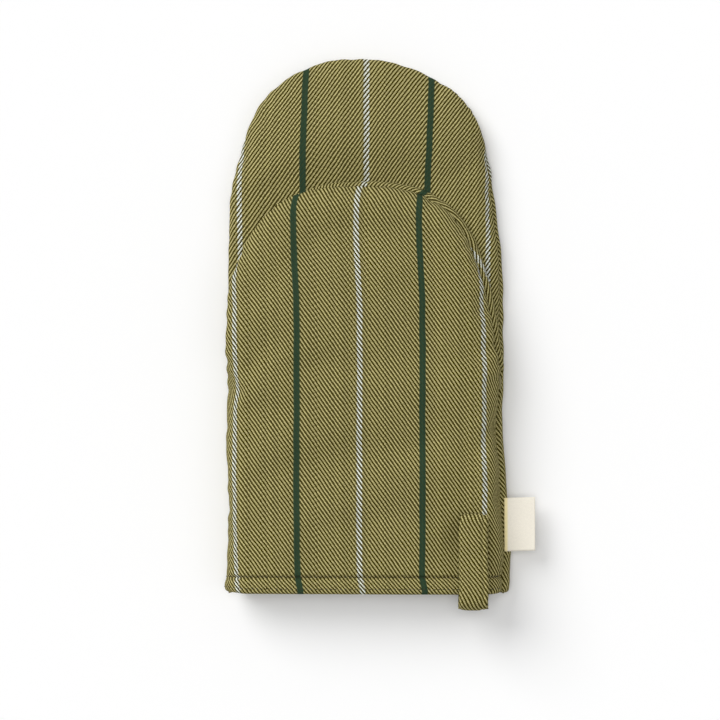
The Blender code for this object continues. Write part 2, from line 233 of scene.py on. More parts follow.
def joined_outline(upper, lower, start, end):
    """The upper outline, led over into the lower one's sides between two heights."""
    points = upper["points"].copy()
    share = ease((end - points[:, 1]) / (end - start))
    side = np.sign(upper["along"])
    to_right, to_left = side_x(lower, points[:, 1], 1), side_x(lower, points[:, 1], -1)
    target = np.where(side > 0, to_right, to_left)
    points[:, 0] += (target - points[:, 0]) * share
    return {"points": points, "normals": edge_of(points), "along": upper["along"]}


def cut_at(outline, low):
    """The part of an outline above the height low, with both ends put on it."""
    keep = outline["points"][:, 1] >= low
    made = {name: values[keep].copy() for name, values in outline.items()}
    made["points"][[0, -1], 1] = low
    return made


hand_outline = pocket_outline(TIP_Y, HAND_KEYS)
thumb_outline = pocket_outline(THUMB_TIP_Y, THUMB_KEYS)
thumb_outline = joined_outline(thumb_outline, hand_outline, CROTCH_Y - 0.002, CROTCH_Y + 0.022)
print("hand outline", np.round(hand_outline["points"].min(0), 4), len(hand_outline["points"]))

# %% [markdown]
# ## How a panel turns over the edge
# On the right the back panel is rolled up round the edge, so its seam lies a few millimetres
# inside. On the left the front is rolled under. The width of that roll is `wrap`: positive
# where the lower panel comes up, negative where the upper one goes down. A section across
# the edge is then one or two quarter ellipses, measured by the length of cloth in them.

# %% Rolled seams and their sections
# The place along the edge and the width of the roll there, both in millimetres.
HAND_WRAP = [(-390, -2.5), (-60, -2.2), (30, -1.6), (75, -0.4), (105, 0.6), (150, 1.4)]
HAND_WRAP += [(200, 2.2), (252, 3.3), (390, 5.0)]
THUMB_WRAP = [(-311, -2.5), (-95, -2.2), (-58, -0.4), (-38, 1.6), (-18, 3.8), (0, 4.3)]
THUMB_WRAP += [(60, 4.5), (90, 4.2), (120, 3.7), (173, 3.3), (311, 5.0)]
RIM = 0.0135
ROLL = 1.35
SAMPLES = 33


def seam_height(y, away):
    """The side seam's height: the fold's at the crotch and away past it."""
    return FOLD_Z + (away - FOLD_Z) * ease((y - (CROTCH_Y - 0.006)) / 0.034)


def rim_table(wrap, seam_z, flat_z, width, face):
    """Inset and height along each section, from the seam to where the panel lies flat.

    A panel that goes round the edge starts with a quarter ellipse out to the widest point.
    A second quarter ellipse of the given width then leads up, or down, to the flat.
    """
    turn = np.linspace(0, np.pi / 2, 20)
    seam_z = seam_z + 0 * wrap
    goes_round = face * wrap < 0
    lead = np.where(goes_round, np.abs(wrap), 0.0)
    rise = np.minimum(ROLL * np.abs(wrap), 0.6 * np.abs(flat_z - seam_z))
    widest_z = np.where(goes_round, seam_z + face * rise, seam_z)
    inset_1 = np.abs(wrap)[:, None] - lead[:, None] * np.sin(turn)
    z_1 = seam_z[:, None] + (widest_z - seam_z)[:, None] * (1 - np.cos(turn))
    start = np.abs(wrap) - lead
    inset_2 = start[:, None] + width * (1 - np.cos(turn[1:]))
    z_2 = widest_z[:, None] + (flat_z - widest_z)[:, None] * np.sin(turn[1:])
    inset, z = np.hstack([inset_1, inset_2]), np.hstack([z_1, z_2])
    pieces = np.hypot(np.diff(inset, axis=1), np.diff(z, axis=1))
    length = np.hstack([np.zeros((len(wrap), 1)), np.cumsum(pieces, axis=1)])
    shares = np.linspace(0, 1, SAMPLES)
    rows = zip(length, np.stack([inset, z], axis=2))
    even = np.array([at_lengths(shares * along[-1], along, row) for along, row in rows])
    return {"inset": even[..., 0], "z": even[..., 1], "length": length[:, -1]}


# %% [markdown]
# ## A panel from its flat cut
# Cloth keeps its length, so each panel is first laid out flat: the outline moved out by the
# cloth that the edge takes up. A Coons patch fills that cut with an even grid. Each grid
# point then goes back up: near the seam onto the section, further in straight onto the flat.
# The flat place of every point stays with it as its UV, so stripes and weave bend with it.

# %% Panels
SHOULDER = 0.060


def crowded(count, crowd=0.45):
    """count + 1 shares from 0 to 1 that lie closer together at both ends."""
    t = np.linspace(0, 1, count + 1)
    return t - crowd * np.sin(2 * np.pi * t) / (2 * np.pi)


def spaced(line, shares):
    """Points of a line at shares of its length."""
    length = length_along(line)
    return at_lengths(shares * length[-1], length, line)


def coons(bottom, top, left, right, u, v):
    """The patch between four edges: two blends of opposite edges less that of the corners."""
    u, v = u[None, :, None], v[:, None, None]
    across = (1 - u) * left[:, None] + u * right[:, None]
    upward = (1 - v) * bottom[None] + v * top[None]
    low = (1 - u) * bottom[0] + u * bottom[-1]
    high = (1 - u) * top[0] + u * top[-1]
    return across + upward - (1 - v) * low - v * high


def nearest_on(line, points):
    """For each point the place along the line, as a fractional index, and the distance."""
    index, distance = np.zeros(len(points)), np.zeros(len(points))
    along = np.gradient(line, axis=0)
    pitch = np.linalg.norm(along, axis=1)
    for part in np.array_split(np.arange(len(points)), 24):
        offset = points[part, None] - line[None]
        best = (offset**2).sum(-1).argmin(1)
        from_best = points[part] - line[best]
        shift = (from_best * along[best]).sum(1) / pitch[best] ** 2
        shift = np.clip(shift, -0.5, 0.5)
        index[part] = np.clip(best + shift, 0, len(line) - 1)
        distance[part] = np.linalg.norm(from_best - shift[:, None] * along[best], axis=1)
    return index, distance


def blended(table, index):
    """Rows of a table at fractional indices."""
    low = np.minimum(index.astype(int), len(table) - 2)
    part = index - low
    part = part.reshape(part.shape + (1,) * (table.ndim - 1))
    return table[low] * (1 - part) + table[low + 1] * part


def panel(outline, wrap, seam_z, flat_z, face, cells, crown=0.0, width=RIM):
    """The outer face of a panel: seam to flat by its sections, and a crown in the middle.

    It returns the grid of points, the flat grid, the distance from the seam and the place
    along it. The grid's top edge is the outline within SHOULDER of the tip.
    """
    table = rim_table(wrap, seam_z, flat_z, width, face)
    end_inset = table["inset"][:, -1]
    cut = outline["points"] + outline["normals"] * (table["length"] - end_inset)[:, None]
    left_end, right_start = np.searchsorted(outline["along"], [-SHOULDER, SHOULDER])
    u, v = crowded(cells[0]), crowded(cells[1])
    left = spaced(cut[: left_end + 1], v)
    top = spaced(cut[left_end : right_start + 1], u)
    right = spaced(cut[right_start:][::-1], v)
    bottom = spaced(np.stack([left[0], right[0]]), u)
    flat = coons(bottom, top, left, right, u, v)
    points = flat.reshape(-1, 2)
    index, distance = nearest_on(cut, points)
    length = blended(table["length"], index)
    share = np.clip(distance / length, 0, 1)
    column = share * (SAMPLES - 1)
    low = np.minimum(column.astype(int), SAMPLES - 2)
    rows = np.arange(len(points))
    inset_rows, z_rows = blended(table["inset"], index), blended(table["z"], index)
    part = column - low
    inset = inset_rows[rows, low] * (1 - part) + inset_rows[rows, low + 1] * part
    z = z_rows[rows, low] * (1 - part) + z_rows[rows, low + 1] * part
    back_out = np.where(share < 1, distance - (length - blended(end_inset, index)) - inset, 0.0)
    plan = points + blended(outline["normals"], index) * back_out[:, None]
    z = z + face * crown * ease((distance - 0.4 * length) / 0.065)
    shape = flat.shape[:2]
    grid = np.column_stack([plan, z]).reshape(*shape, 3)
    place = blended(outline["along"], index).reshape(shape)
    made = {"grid": grid, "start": grid, "flat": flat, "face": face}
    return made | {"seam": distance.reshape(shape), "place": place}


def outward(made):
    """Unit normals of a panel's outer face: the cross product of its two grid directions.

    A corner's folded allowance has no area to give one, and there it is straight down or up.
    """
    grid = made["grid"]
    normals = np.cross(np.gradient(grid, axis=1), np.gradient(grid, axis=0))
    size = np.linalg.norm(normals, axis=2)[..., None]
    level = np.array([0.0, 0.0, -made["face"]])
    return np.where(size > 1e-12, made["face"] * normals / np.maximum(size, 1e-12), level)


# %% The four panels
front_line = cut_at(thumb_outline, CUFF_Y + HEM_RADIUS)
back_line = cut_at(hand_outline, CUFF_Y + HEM_RADIUS)
palm_line = cut_at(hand_outline, CROTCH_Y)
under_line = cut_at(thumb_outline, CROTCH_Y)

# Outline, roll, seam height, height of the flat, side it faces, cells of the grid, crown.
PANELS = {
    "front": (front_line, THUMB_WRAP, THUMB_SEAM_Z, FRONT_Z, 1, (160, 240), FRONT_CROWN),
    "back": (back_line, HAND_WRAP, HAND_SEAM_Z, 0.0, -1, (160, 256), 0.0),
    "palm": (palm_line, HAND_WRAP, HAND_SEAM_Z, PALM_Z, 1, (160, 176), 0.0),
    "thumb_palm": (under_line, THUMB_WRAP, THUMB_SEAM_Z, THUMB_Z, -1, (160, 128), 0.0),
}
panels = {}
for name, (line, keys, away, *rest) in PANELS.items():
    wrap, seam_z = keyed(line["along"], keys, 8.0), seam_height(line["points"][:, 1], away)
    panels[name] = panel(line, wrap, seam_z, *rest)
    low, high = panels[name]["grid"].min((0, 1)), panels[name]["grid"].max((0, 1))
    print(name, np.round(low * 1000, 1), np.round(high * 1000, 1))
front, back, palm, under = panels.values()

# %% [markdown]
# ## Letting the cloth settle
# Padding pushes the cloth out, the seams hold it back, and since a little more cloth is sewn
# in than the seam is long, it comes up in soft waves. That is what a cloth simulation does
# well. It runs on every fourth grid point, with the seams pinned and the rest held by weak
# springs. Only the movement is kept, spread back over the fine grid, and nothing moves far.


# %% Meshes and finer grids
def grid_faces(rows, columns, flip=False):
    """Four corners of every cell of a grid of points, turned over if flip."""
    at = np.arange(rows * columns).reshape(rows, columns)
    faces = np.stack([at[:-1, :-1], at[:-1, 1:], at[1:, 1:], at[1:, :-1]], axis=-1).reshape(-1, 4)
    return faces[:, ::-1] if flip else faces


def mesh_of(name, points, faces):
    """A mesh from arrays of points and of four-cornered faces."""
    mesh = bpy.data.meshes.new(name)
    mesh.from_pydata(points.reshape(-1, 3).tolist(), [], faces.tolist())
    mesh.update()
    return mesh


def finer(values, times):
    """Values on a coarse grid as smooth ones on a fine grid, by a cubic B-spline.

    Each pass puts a point halfway between two and rounds the old ones 1:6:1.
    """
    for _ in range(times):
        for axis in (0, 1):
            old = np.moveaxis(values, axis, 0)
            kept = old.copy()
            kept[1:-1] = (old[:-2] + 6 * old[1:-1] + old[2:]) / 8
            new = np.empty((2 * len(old) - 1,) + old.shape[1:])
            new[::2], new[1::2] = kept, (old[:-1] + old[1:]) / 2
            values = np.moveaxis(new, 0, axis)
    return values


# %% Cloth simulation
COARSE = 4
LAST_FRAME = 24
HOLD = 0.12
FURTHEST = 0.0025
RULES = {
    "quality": 8,
    "mass": 0.25,
    "tension_stiffness": 20,
    "compression_stiffness": 20,
    "shear_stiffness": 8,
    "bending_stiffness": 1.5,
    "use_pressure": True,
    "uniform_pressure_force": 1.5,
    "shrink_min": -0.012,
    "pin_stiffness": 1.0,
}


def settle(made, name, free):
    """Moves a panel as a cloth simulation says; free is a share from 0 to 1 that may move."""
    start = made["grid"][::COARSE, ::COARSE]
    rows, columns = start.shape[:2]
    item = new_object(name, mesh_of(name, start, grid_faces(rows, columns, made["face"] < 0)))
    grip = np.full((rows, columns), HOLD)
    grip[[0, -1]] = 1.0
    grip[:, [0, -1]] = 1.0
    group = item.vertex_groups.new(name="held")
    for weight in np.unique(grip):
        group.add(np.flatnonzero(grip.ravel() == weight).tolist(), float(weight), "REPLACE")
    cloth = item.modifiers.new("Cloth", "CLOTH")
    for rule, value in RULES.items():
        setattr(cloth.settings, rule, value)
    cloth.settings.vertex_group_mass = group.name
    cloth.settings.effector_weights.gravity = 0.0
    cloth.collision_settings.use_collision = False
    cloth.point_cache.frame_start, cloth.point_cache.frame_end = 1, LAST_FRAME
    for number in range(1, LAST_FRAME + 1):
        bpy.context.scene.frame_set(number)
    seen = item.evaluated_get(bpy.context.evaluated_depsgraph_get())
    moved = np.empty(rows * columns * 3, np.float32)
    seen.data.vertices.foreach_get("co", moved)
    shift = moved.reshape(start.shape) - start
    far = np.linalg.norm(shift, axis=2)[..., None]
    print(name, "moved up to", round(float(far.max()) * 1000, 2), "mm")
    shift *= np.minimum(1.0, FURTHEST / np.maximum(far, 1e-9))
    shift *= free[::COARSE, ::COARSE, None]
    bpy.data.objects.remove(item, do_unlink=True)
    bpy.context.scene.frame_set(1)
    made["grid"] = made["grid"] + finer(shift, int(math.log2(COARSE)))


# %% [markdown]
# ## The palm's swell
# Where the thumb pocket leaves the palm free, the padding lifts the cloth into a low dome
# between the thumb and the rim. After that the front and the palm settle.

# %% The palm's swell
PALM_SWELL = 0.0115
FLAT_SHARE = 0.3
SWELL_RIM = 0.0062
FAN_LENGTH = 0.119


def beyond(outline, made):
    """How far each point of a panel lies outside an outline in plan, and 0 inside it."""
    points = made["grid"][..., :2].reshape(-1, 2)
    index, distance = nearest_on(outline["points"], points)
    offset = points - blended(outline["points"], index)
    outside = (offset * blended(outline["normals"], index)).sum(1) > 0
    return (distance * outside).reshape(made["seam"].shape)


def swell(made):
    """The palm's rise where the thumb leaves it free: a parabola from the rim to the thumb.

    With s the share of the free way that lies behind a point it is 4 s (1 - s) of a height
    that grows with the free way's length.
    """
    free = beyond(thumb_outline, made)
    inner = dict(hand_outline, normals=-hand_outline["normals"])
    inside = np.maximum(beyond(inner, made) - SWELL_RIM, 0.0)
    share = inside / np.maximum(inside + free, 1e-6)
    long_way = (inside + free) / FAN_LENGTH
    height = PALM_SWELL * np.maximum(long_way - FLAT_SHARE, 0.0) / (1 - FLAT_SHARE)
    return (height * 4 * share * (1 - share))[..., None] * [0, 0, 1]


palm["start"] = palm["grid"] + swell(palm)
palm["grid"] = palm["start"]
clear_of_thumb = ease((beyond(thumb_outline, palm) - 0.001) / 0.025)
clear_of_hem = ease((front["flat"][..., 1] - (CUFF_Y + HEM)) / 0.035)
print("palm top mm", round(float(palm["grid"][..., 2].max()) * 1000, 1))

# %% Settled panels
settle(front, "front_cloth", clear_of_hem)
settle(palm, "palm_cloth", clear_of_thumb)

# The loop presses the front in a little under its left edge: a dent shaped like a bell.
DENT_AT, DENT_SIZE, DENT_DEPTH = (0.0620, -0.129), (0.0095, 0.022), 0.0042
from_dent = (front["grid"][..., :2] - DENT_AT) / DENT_SIZE
dent = DENT_DEPTH * np.exp(-(from_dent**2).sum(-1) / 2)
front["grid"] = front["grid"] - dent[..., None] * [0, 0, 1]
print("dent mm", round(float(dent.max()) * 1000, 1))

# %% [markdown]
# ## Grooves and puckers
# A seam draws its edge in, and the cloth beside it stands in small puckers across the seam.
# Both are moves along the normal: the groove is a bell in the distance from the seam, and
# the puckers are waves along the seam that fade out from it.


# %% Seams drawn in
GROOVE, GROOVE_WIDTH = 0.0009, 0.0016
PUCKER, PUCKER_REACH = 0.00035, 0.012
BROAD = 0.00030


def draw_in(made, seed, free=1.0):
    """Moves a panel by -depth bell(distance) + pucker waves(place) fade(distance).

    The product of two slanting sets of long waves is added further in, so that no two
    places are alike.
    """
    seam, (x, y) = made["seam"], np.moveaxis(made["flat"], -1, 0)
    groove = -GROOVE * bell(seam / GROOVE_WIDTH)
    fade = ease(seam / 0.004) * np.exp(-seam / PUCKER_REACH)
    waviness = PUCKER * waves(made["place"], seed, 0.008, 0.030) * fade
    broad = BROAD * waves(x * 0.8 + y, seed + 1, 0.05, 0.12)
    broad = broad * waves(x - y * 0.6, seed + 2, 0.06, 0.13)
    move = (groove + waviness + broad * ease(seam / 0.02)) * free
    made["grid"] = made["grid"] + outward(made) * move[..., None]
    print("drawn in up to", round(-float(move.min()) * 1000, 2), "mm")


draw_in(front, 11)
draw_in(palm, 12, free=0.2 + 0.8 * clear_of_thumb)
draw_in(under, 13, free=np.exp(-under["seam"] / PUCKER_REACH))
draw_in(back, 14, free=np.exp(-back["seam"] / PUCKER_REACH))

# %% [markdown]
# ## The twill weave
# The cloth is a 2/2 twill: each lengthwise yarn goes over two crosswise ones and under two,
# and its neighbour does so one step further on. That step makes the slanting lines. The
# group below works this out from the flat place of each point: which yarn it is on, where
# along a float it is, and so which yarn is on top and how high it stands. The lengthwise
# yarns change colour in turn to make the white and the dark green stripes.


# %% Nodes in short calls
def srgb(red, green, blue):
    """A colour given in 0 to 255 as the linear numbers that a shader takes."""
    share = np.array([red, green, blue]) / 255
    low, high = share / 12.92, ((share + 0.055) / 1.055) ** 2.4
    return (*np.where(share <= 0.04045, low, high).tolist(), 1.0)


class Graph:
    """Short calls for the nodes of one tree."""

    def __init__(self, tree):
        self.tree = tree

    def node(self, kind, **settings):
        """A new node with its properties set."""
        made = self.tree.nodes.new(kind)
        for name, value in settings.items():
            setattr(made, name, value)
        return made

    def feed(self, socket, value):
        """A socket linked to an output, or set to a plain value."""
        if isinstance(value, bpy.types.NodeSocket):
            self.tree.links.new(value, socket)
        else:
            socket.default_value = value

    def math(self, operation, *values, clamp=False):
        """One step of arithmetic."""
        made = self.node("ShaderNodeMath", operation=operation, use_clamp=clamp)
        for socket, value in zip(made.inputs, values):
            self.feed(socket, value)
        return made.outputs[0]

    def mix(self, share, first, second, blend="MIX"):
        """Two colours mixed."""
        made = self.node("ShaderNodeMix", data_type="RGBA", blend_type=blend)
        self.feed(made.inputs[0], share)
        self.feed(made.inputs[6], first)
        self.feed(made.inputs[7], second)
        return made.outputs[2]

    def toned(self, colour, tone):
        """A colour made lighter or darker by a number."""
        grey = self.node("ShaderNodeCombineColor")
        for socket in grey.inputs:
            self.feed(socket, tone)
        return self.mix(1.0, colour, grey.outputs[0], "MULTIPLY")

    def noise(self, vector, scale, detail=2.0):
        """Smooth noise about 0.5."""
        made = self.node("ShaderNodeTexNoise")
        self.feed(made.inputs["Vector"], vector)
        made.inputs["Scale"].default_value = scale
        made.inputs["Detail"].default_value = detail
        return made.outputs[0]


# %% Node groups and surfaces
def group_of(name, inputs, outputs):
    """An empty node group with named sockets, and a graph to build it with."""
    tree = bpy.data.node_groups.new(name, "ShaderNodeTree")
    for label, kind, value in inputs:
        socket = tree.interface.new_socket(label, in_out="INPUT", socket_type=kind)
        if value is not None:
            socket.default_value = value
    for label, kind in outputs:
        tree.interface.new_socket(label, in_out="OUTPUT", socket_type=kind)
    graph = Graph(tree)
    return tree, graph, graph.node("NodeGroupInput").outputs, graph.node("NodeGroupOutput").inputs


def new_surface(name, roughness, shine=0.5):
    """A material of one Principled surface, with a graph for the nodes that feed it."""
    material = bpy.data.materials.new(name)
    material.use_nodes = True
    shader = material.node_tree.nodes["Principled BSDF"]
    shader.inputs["Roughness"].default_value = roughness
    shader.inputs["Specular IOR Level"].default_value = shine
    return material, Graph(material.node_tree), shader


def raise_surface(g, shader, height, distance):
    """Feeds a height to the surface's normal through Bump, with its distance in metres."""
    bump = g.node("ShaderNodeBump")
    bump.inputs["Distance"].default_value = distance
    g.feed(bump.inputs["Height"], height)
    g.feed(shader.inputs["Normal"], bump.outputs[0])


def flat_place(g):
    """The flat place of a point of cloth, in metres, and its two parts."""
    place = g.node("ShaderNodeUVMap", uv_map="flat_cloth").outputs[0]
    split = g.node("ShaderNodeSeparateXYZ")
    g.feed(split.inputs[0], place)
    return place, split.outputs[0], split.outputs[1]


# %% Twill node group
FLOAT, COLOUR, VECTOR = "NodeSocketFloat", "NodeSocketColor", "NodeSocketVector"
KHAKI = srgb(192, 184, 128)
OLIVE = srgb(63, 56, 11)
GREEN = srgb(46, 69, 52)
WHITE = srgb(238, 242, 228)
YELLOWER, BROWNER = srgb(199, 193, 120), srgb(190, 172, 130)

# How far yarns wander sideways and lengthwise, how unevenly their floats start, how much of
# four picks a float lasts, how low the crosswise yarns lie, and how sharply the upper one of
# two yarns hides the other.
SWAY, DRIFT = 0.0011, 0.0007
LATENESS = 0.35
FLOAT_SHARE = 0.455
SUNK = 0.34
SHARPNESS = 3.2
GREEN_HALF, GREEN_SOFT = 0.0024, 0.0007
WHITE_HALF, WHITE_SOFT = 0.0020, 0.0004


def twill_group():
    """The weave: colour and height from the flat place of a point, in metres."""
    inputs = [("Place", VECTOR, None), ("Slant", FLOAT, 1.0), ("Yarn Width", FLOAT, 0.000617)]
    inputs += [("Pick Height", FLOAT, 0.000865), ("Stripe Pitch", FLOAT, 0.0402)]
    inputs += [("First Stripe", FLOAT, 0.0), ("Stripe Share", FLOAT, 1.0)]
    inputs += [("Lengthwise", COLOUR, KHAKI), ("Crosswise", COLOUR, OLIVE)]
    inputs += [("Green Stripe", COLOUR, GREEN), ("White Stripe", COLOUR, WHITE)]
    tree, g, given, out = group_of("twill_weave", inputs, [("Color", COLOUR), ("Height", FLOAT)])

    # The yarn, the place across it, and the place in its cycle of four picks.
    split = g.node("ShaderNodeSeparateXYZ")
    g.feed(split.inputs[0], given["Place"])
    sway = g.math("SUBTRACT", g.noise(given["Place"], 45.0, 1.0), 0.5)
    drift = g.math("SUBTRACT", g.noise(given["Place"], 160.0, 1.0), 0.5)
    u = g.math("MULTIPLY_ADD", sway, SWAY, split.outputs[0])
    v = g.math("MULTIPLY_ADD", drift, DRIFT, split.outputs[1])
    x = g.math("DIVIDE", u, given["Yarn Width"])
    y = g.math("DIVIDE", v, given["Pick Height"])
    yarn = g.math("FLOOR", x)
    lane = g.math("SUBTRACT", x, yarn)
    uneven = g.node("ShaderNodeTexWhiteNoise", noise_dimensions="1D")
    g.feed(uneven.inputs["W"], yarn)
    late = g.math("MULTIPLY", uneven.outputs["Value"], LATENESS)
    step = g.math("MULTIPLY_ADD", yarn, given["Slant"], g.math("ADD", y, late))
    cycle = g.math("FRACT", g.math("MULTIPLY", step, 0.25))

    # A yarn stands as high as its bow along the float and its roundness across allow.
    reach = g.math("DIVIDE", g.math("SUBTRACT", cycle, FLOAT_SHARE / 2), FLOAT_SHARE / 2)
    bow = g.math("SUBTRACT", 1.0, g.math("MULTIPLY", reach, reach))
    bow = g.math("SQRT", g.math("MAXIMUM", bow, 0.0))
    side = g.math("MULTIPLY_ADD", lane, 2.0, -1.0)
    roundness = g.math("SUBTRACT", 1.0, g.math("MULTIPLY", g.math("MULTIPLY", side, side), 0.75))
    lengthwise = g.math("MULTIPLY", bow, g.math("SQRT", g.math("MAXIMUM", roundness, 0.0)))
    rung = g.math("MULTIPLY_ADD", g.math("FRACT", y), 2.0, -1.0)
    crosswise = g.math("SUBTRACT", 1.0, g.math("MULTIPLY", rung, rung))
    crosswise = g.math("MULTIPLY", g.math("SQRT", g.math("MAXIMUM", crosswise, 0.0)), SUNK)
    height = g.math("MAXIMUM", lengthwise, crosswise)
    above = g.math("SUBTRACT", lengthwise, crosswise)
    top = g.math("MULTIPLY_ADD", above, SHARPNESS, 0.25, clamp=True)

    # Every second stripe is green and the others are white, by the distance from its middle.
    turns = g.math("DIVIDE", g.math("SUBTRACT", u, given["First Stripe"]), given["Stripe Pitch"])
    whole = g.math("ROUND", turns)
    off = g.math("ABSOLUTE", g.math("SUBTRACT", turns, whole))
    off = g.math("MULTIPLY", off, given["Stripe Pitch"])
    odd = g.math("PINGPONG", whole, 1.0)
    even = g.math("SUBTRACT", 1.0, odd)
    green = g.math("MULTIPLY_ADD", off, -1 / GREEN_SOFT, GREEN_HALF / GREEN_SOFT, clamp=True)
    farther = g.math("MULTIPLY_ADD", g.math("ABSOLUTE", whole), 0.00012, off)
    white = g.math("MULTIPLY_ADD", farther, -1 / WHITE_SOFT, WHITE_HALF / WHITE_SOFT, clamp=True)
    in_green = g.math("MULTIPLY", g.math("MULTIPLY", green, odd), given["Stripe Share"])
    in_white = g.math("MULTIPLY", g.math("MULTIPLY", white, even), given["Stripe Share"])

    # The yarns differ in tone one by one, by their fibres, and in broad patches.
    tone = g.math("MULTIPLY_ADD", uneven.outputs["Value"], 0.22, 0.89)
    fibre = g.noise(given["Place"], 900.0, 3.0)
    tone = g.math("MULTIPLY", tone, g.math("MULTIPLY_ADD", fibre, 0.5, 0.75))
    patch = g.noise(given["Place"], 30.0, 3.0)
    tone = g.math("MULTIPLY", tone, g.math("MULTIPLY_ADD", patch, 0.16, 0.92))
    warm = g.mix(g.noise(given["Place"], 420.0, 1.0), YELLOWER, BROWNER)
    khaki = g.mix(0.5, given["Lengthwise"], warm)
    yarns = g.mix(in_white, g.mix(in_green, khaki, given["Green Stripe"]), given["White Stripe"])
    under_green = g.math("MULTIPLY", in_green, 0.75)
    ground = g.mix(under_green, given["Crosswise"], given["Green Stripe"])
    colour = g.mix(top, ground, yarns)
    g.feed(out["Color"], g.toned(colour, tone))
    fuzz = g.math("MULTIPLY", g.math("SUBTRACT", fibre, 0.5), 0.5)
    g.feed(out["Height"], g.math("ADD", height, fuzz))
    return tree


TWILL = twill_group()
print("nodes in the twill group:", len(TWILL.nodes))


# %% Twill materials
def twill_material(name, slant, first_stripe, striped=1.0):
    """Twill on a Principled surface: the group's colour, and its height through Bump."""
    material, g, shader = new_surface(name, 0.95, 0.04)
    weave = g.node("ShaderNodeGroup", node_tree=TWILL)
    g.feed(weave.inputs["Place"], flat_place(g)[0])
    weave.inputs["Slant"].default_value = slant
    weave.inputs["First Stripe"].default_value = first_stripe
    weave.inputs["Stripe Share"].default_value = striped
    g.feed(shader.inputs["Base Color"], weave.outputs["Color"])
    raise_surface(g, shader, weave.outputs["Height"], 0.00022)
    return material


# The slant of the weave and the place of the first stripe in each panel's cloth.
WEAVES = {"front": (1.0, -0.0041), "back": (-1.0, 0.0030)}
WEAVES |= {"palm": (-1.0, 0.0006), "thumb_palm": (1.0, -0.0006)}
TWILLS = {name: twill_material(name + "_twill", *weave) for name, weave in WEAVES.items()}
LOOP_TWILL = twill_material("loop_twill", 1.0, 0.0, 0.0)

# %% [markdown]
# ## Cloth with a thickness
# A panel's mesh has an outer face, an inner face a cloth's thickness below it, and a narrow
# strip that closes the two all round. Solidify could do that too, but here the two depths
# differ from place to place, and the flat place of each point has to go with it.


# %% Shells
def cloth_object(name, points, faces, flat, material, slot):
    """An object from points and faces, with a flat place for each point as its UV."""
    mesh = mesh_of(name, points, faces)
    loops = np.empty(len(mesh.loops), np.int32)
    mesh.loops.foreach_get("vertex_index", loops)
    layer = mesh.uv_layers.new(name="flat_cloth")
    layer.uv.foreach_set("vector", flat.reshape(-1, 2)[loops].astype(np.float32).ravel())
    mesh.polygons.foreach_set("use_smooth", np.ones(len(mesh.polygons), bool))
    mesh.materials.append(material)
    item = new_object(name, mesh)
    print(name, len(mesh.polygons) * 2, "triangles")
    return item


def shell(name, made, upper, lower, material, slot):
    """A closed layer of a panel between two depths below its outer face."""
    normals = outward(made)
    rows, columns = made["grid"].shape[:2]
    outer = made["grid"] - normals * upper
    inner = made["grid"] - normals * lower
    points = np.concatenate([outer.reshape(-1, 3), inner.reshape(-1, 3)])
    count = rows * columns
    at = np.arange(count).reshape(rows, columns)
    ring = np.r_[at[0, :-1], at[:-1, -1], at[-1, :0:-1], at[:0:-1, 0]]
    ahead = np.roll(ring, -1)
    wall = np.stack([ring, ring + count, ahead + count, ahead], axis=1)
    inside = grid_faces(rows, columns, True) + count
    faces = np.concatenate([grid_faces(rows, columns), inside, wall])
    if made["face"] < 0:
        faces = faces[:, ::-1]
    return cloth_object(name, points, faces, np.stack([made["flat"]] * 2), material, slot)


# %% [markdown]
# ## Where the stripes lie
# Cloth is never laid quite straight before it is cut, and padding pushes it about. So the
# stripes of the real glove wander by a few millimetres. Here the flat places are shifted
# under them: by where the stripe is, by how high up the glove, and a little at the hem.

# %% Stripes off their even places
# How far the stripes are off (mm), by where they are across the cloth and along it (mm).
FRONT_LIE = [(-100, 2.2), (-84.5, 2.3), (-44.3, 1.3), (-4.1, 0.2)]
FRONT_LIE += [(36.1, -0.7), (76.3, -2.1), (100, -2.3)]
PALM_LIE = [(-100, 0.3), (-79.8, 0.3), (-39.6, 0.1), (0.6, 0.3)]
PALM_LIE += [(40.8, -1.1), (81.0, -2.9), (100, -2.9)]
FRONT_SWAY = [(-180, 1.0), (-146, 0.4), (-47, 0.2), (4, 0.5)]
FRONT_SWAY += [(17, 0.3), (54, -1.9), (78, -1.9), (104, 4.0)]
HEM_SLANT = 0.0019
PULL_FROM, PULL_OVER = 0.090, 0.080


def lie(made, keys, sway=((-40, 0), (200, 0)), pull=0.0):
    """Shifts the cloth sideways under its stripes; pull does so more towards the finger tips."""
    x, y = made["flat"][..., 0], made["flat"][..., 1]
    places, offsets = np.array(keys, float).T / 1000
    heights, sways = np.array(sway, float).T / 1000
    fine = np.linspace(-0.2, 0.2, 401)
    smooth = rounded(np.interp(fine, heights, sways), 8)
    offset = np.interp(x, places, offsets) + np.interp(y, fine, smooth)
    offset += pull * np.abs(x) * ease((y - PULL_FROM) / PULL_OVER)
    offset += HEM_SLANT * np.clip((stitch_y - y) / 0.010, 0, 1.5)
    made["flat"] = np.stack([x - offset, y], axis=-1)
    print("stripes moved by up to", round(float(np.abs(offset).max()) * 1000, 1), "mm")


lie(front, FRONT_LIE, FRONT_SWAY)
lie(palm, PALM_LIE, pull=0.06)

# %% [markdown]
# ## Hem, crotch fold and seam allowances
# The hem's stitches pull the cloth in along their line, and the ply between them and the
# edge stands a little proud. The front and back then run on past the cuff edge, where the
# cloth turns in, in half a circle, and comes up inside. The palm runs on round the crotch
# fold. Last, each cover turns in at its seams, so that no light falls through between two.

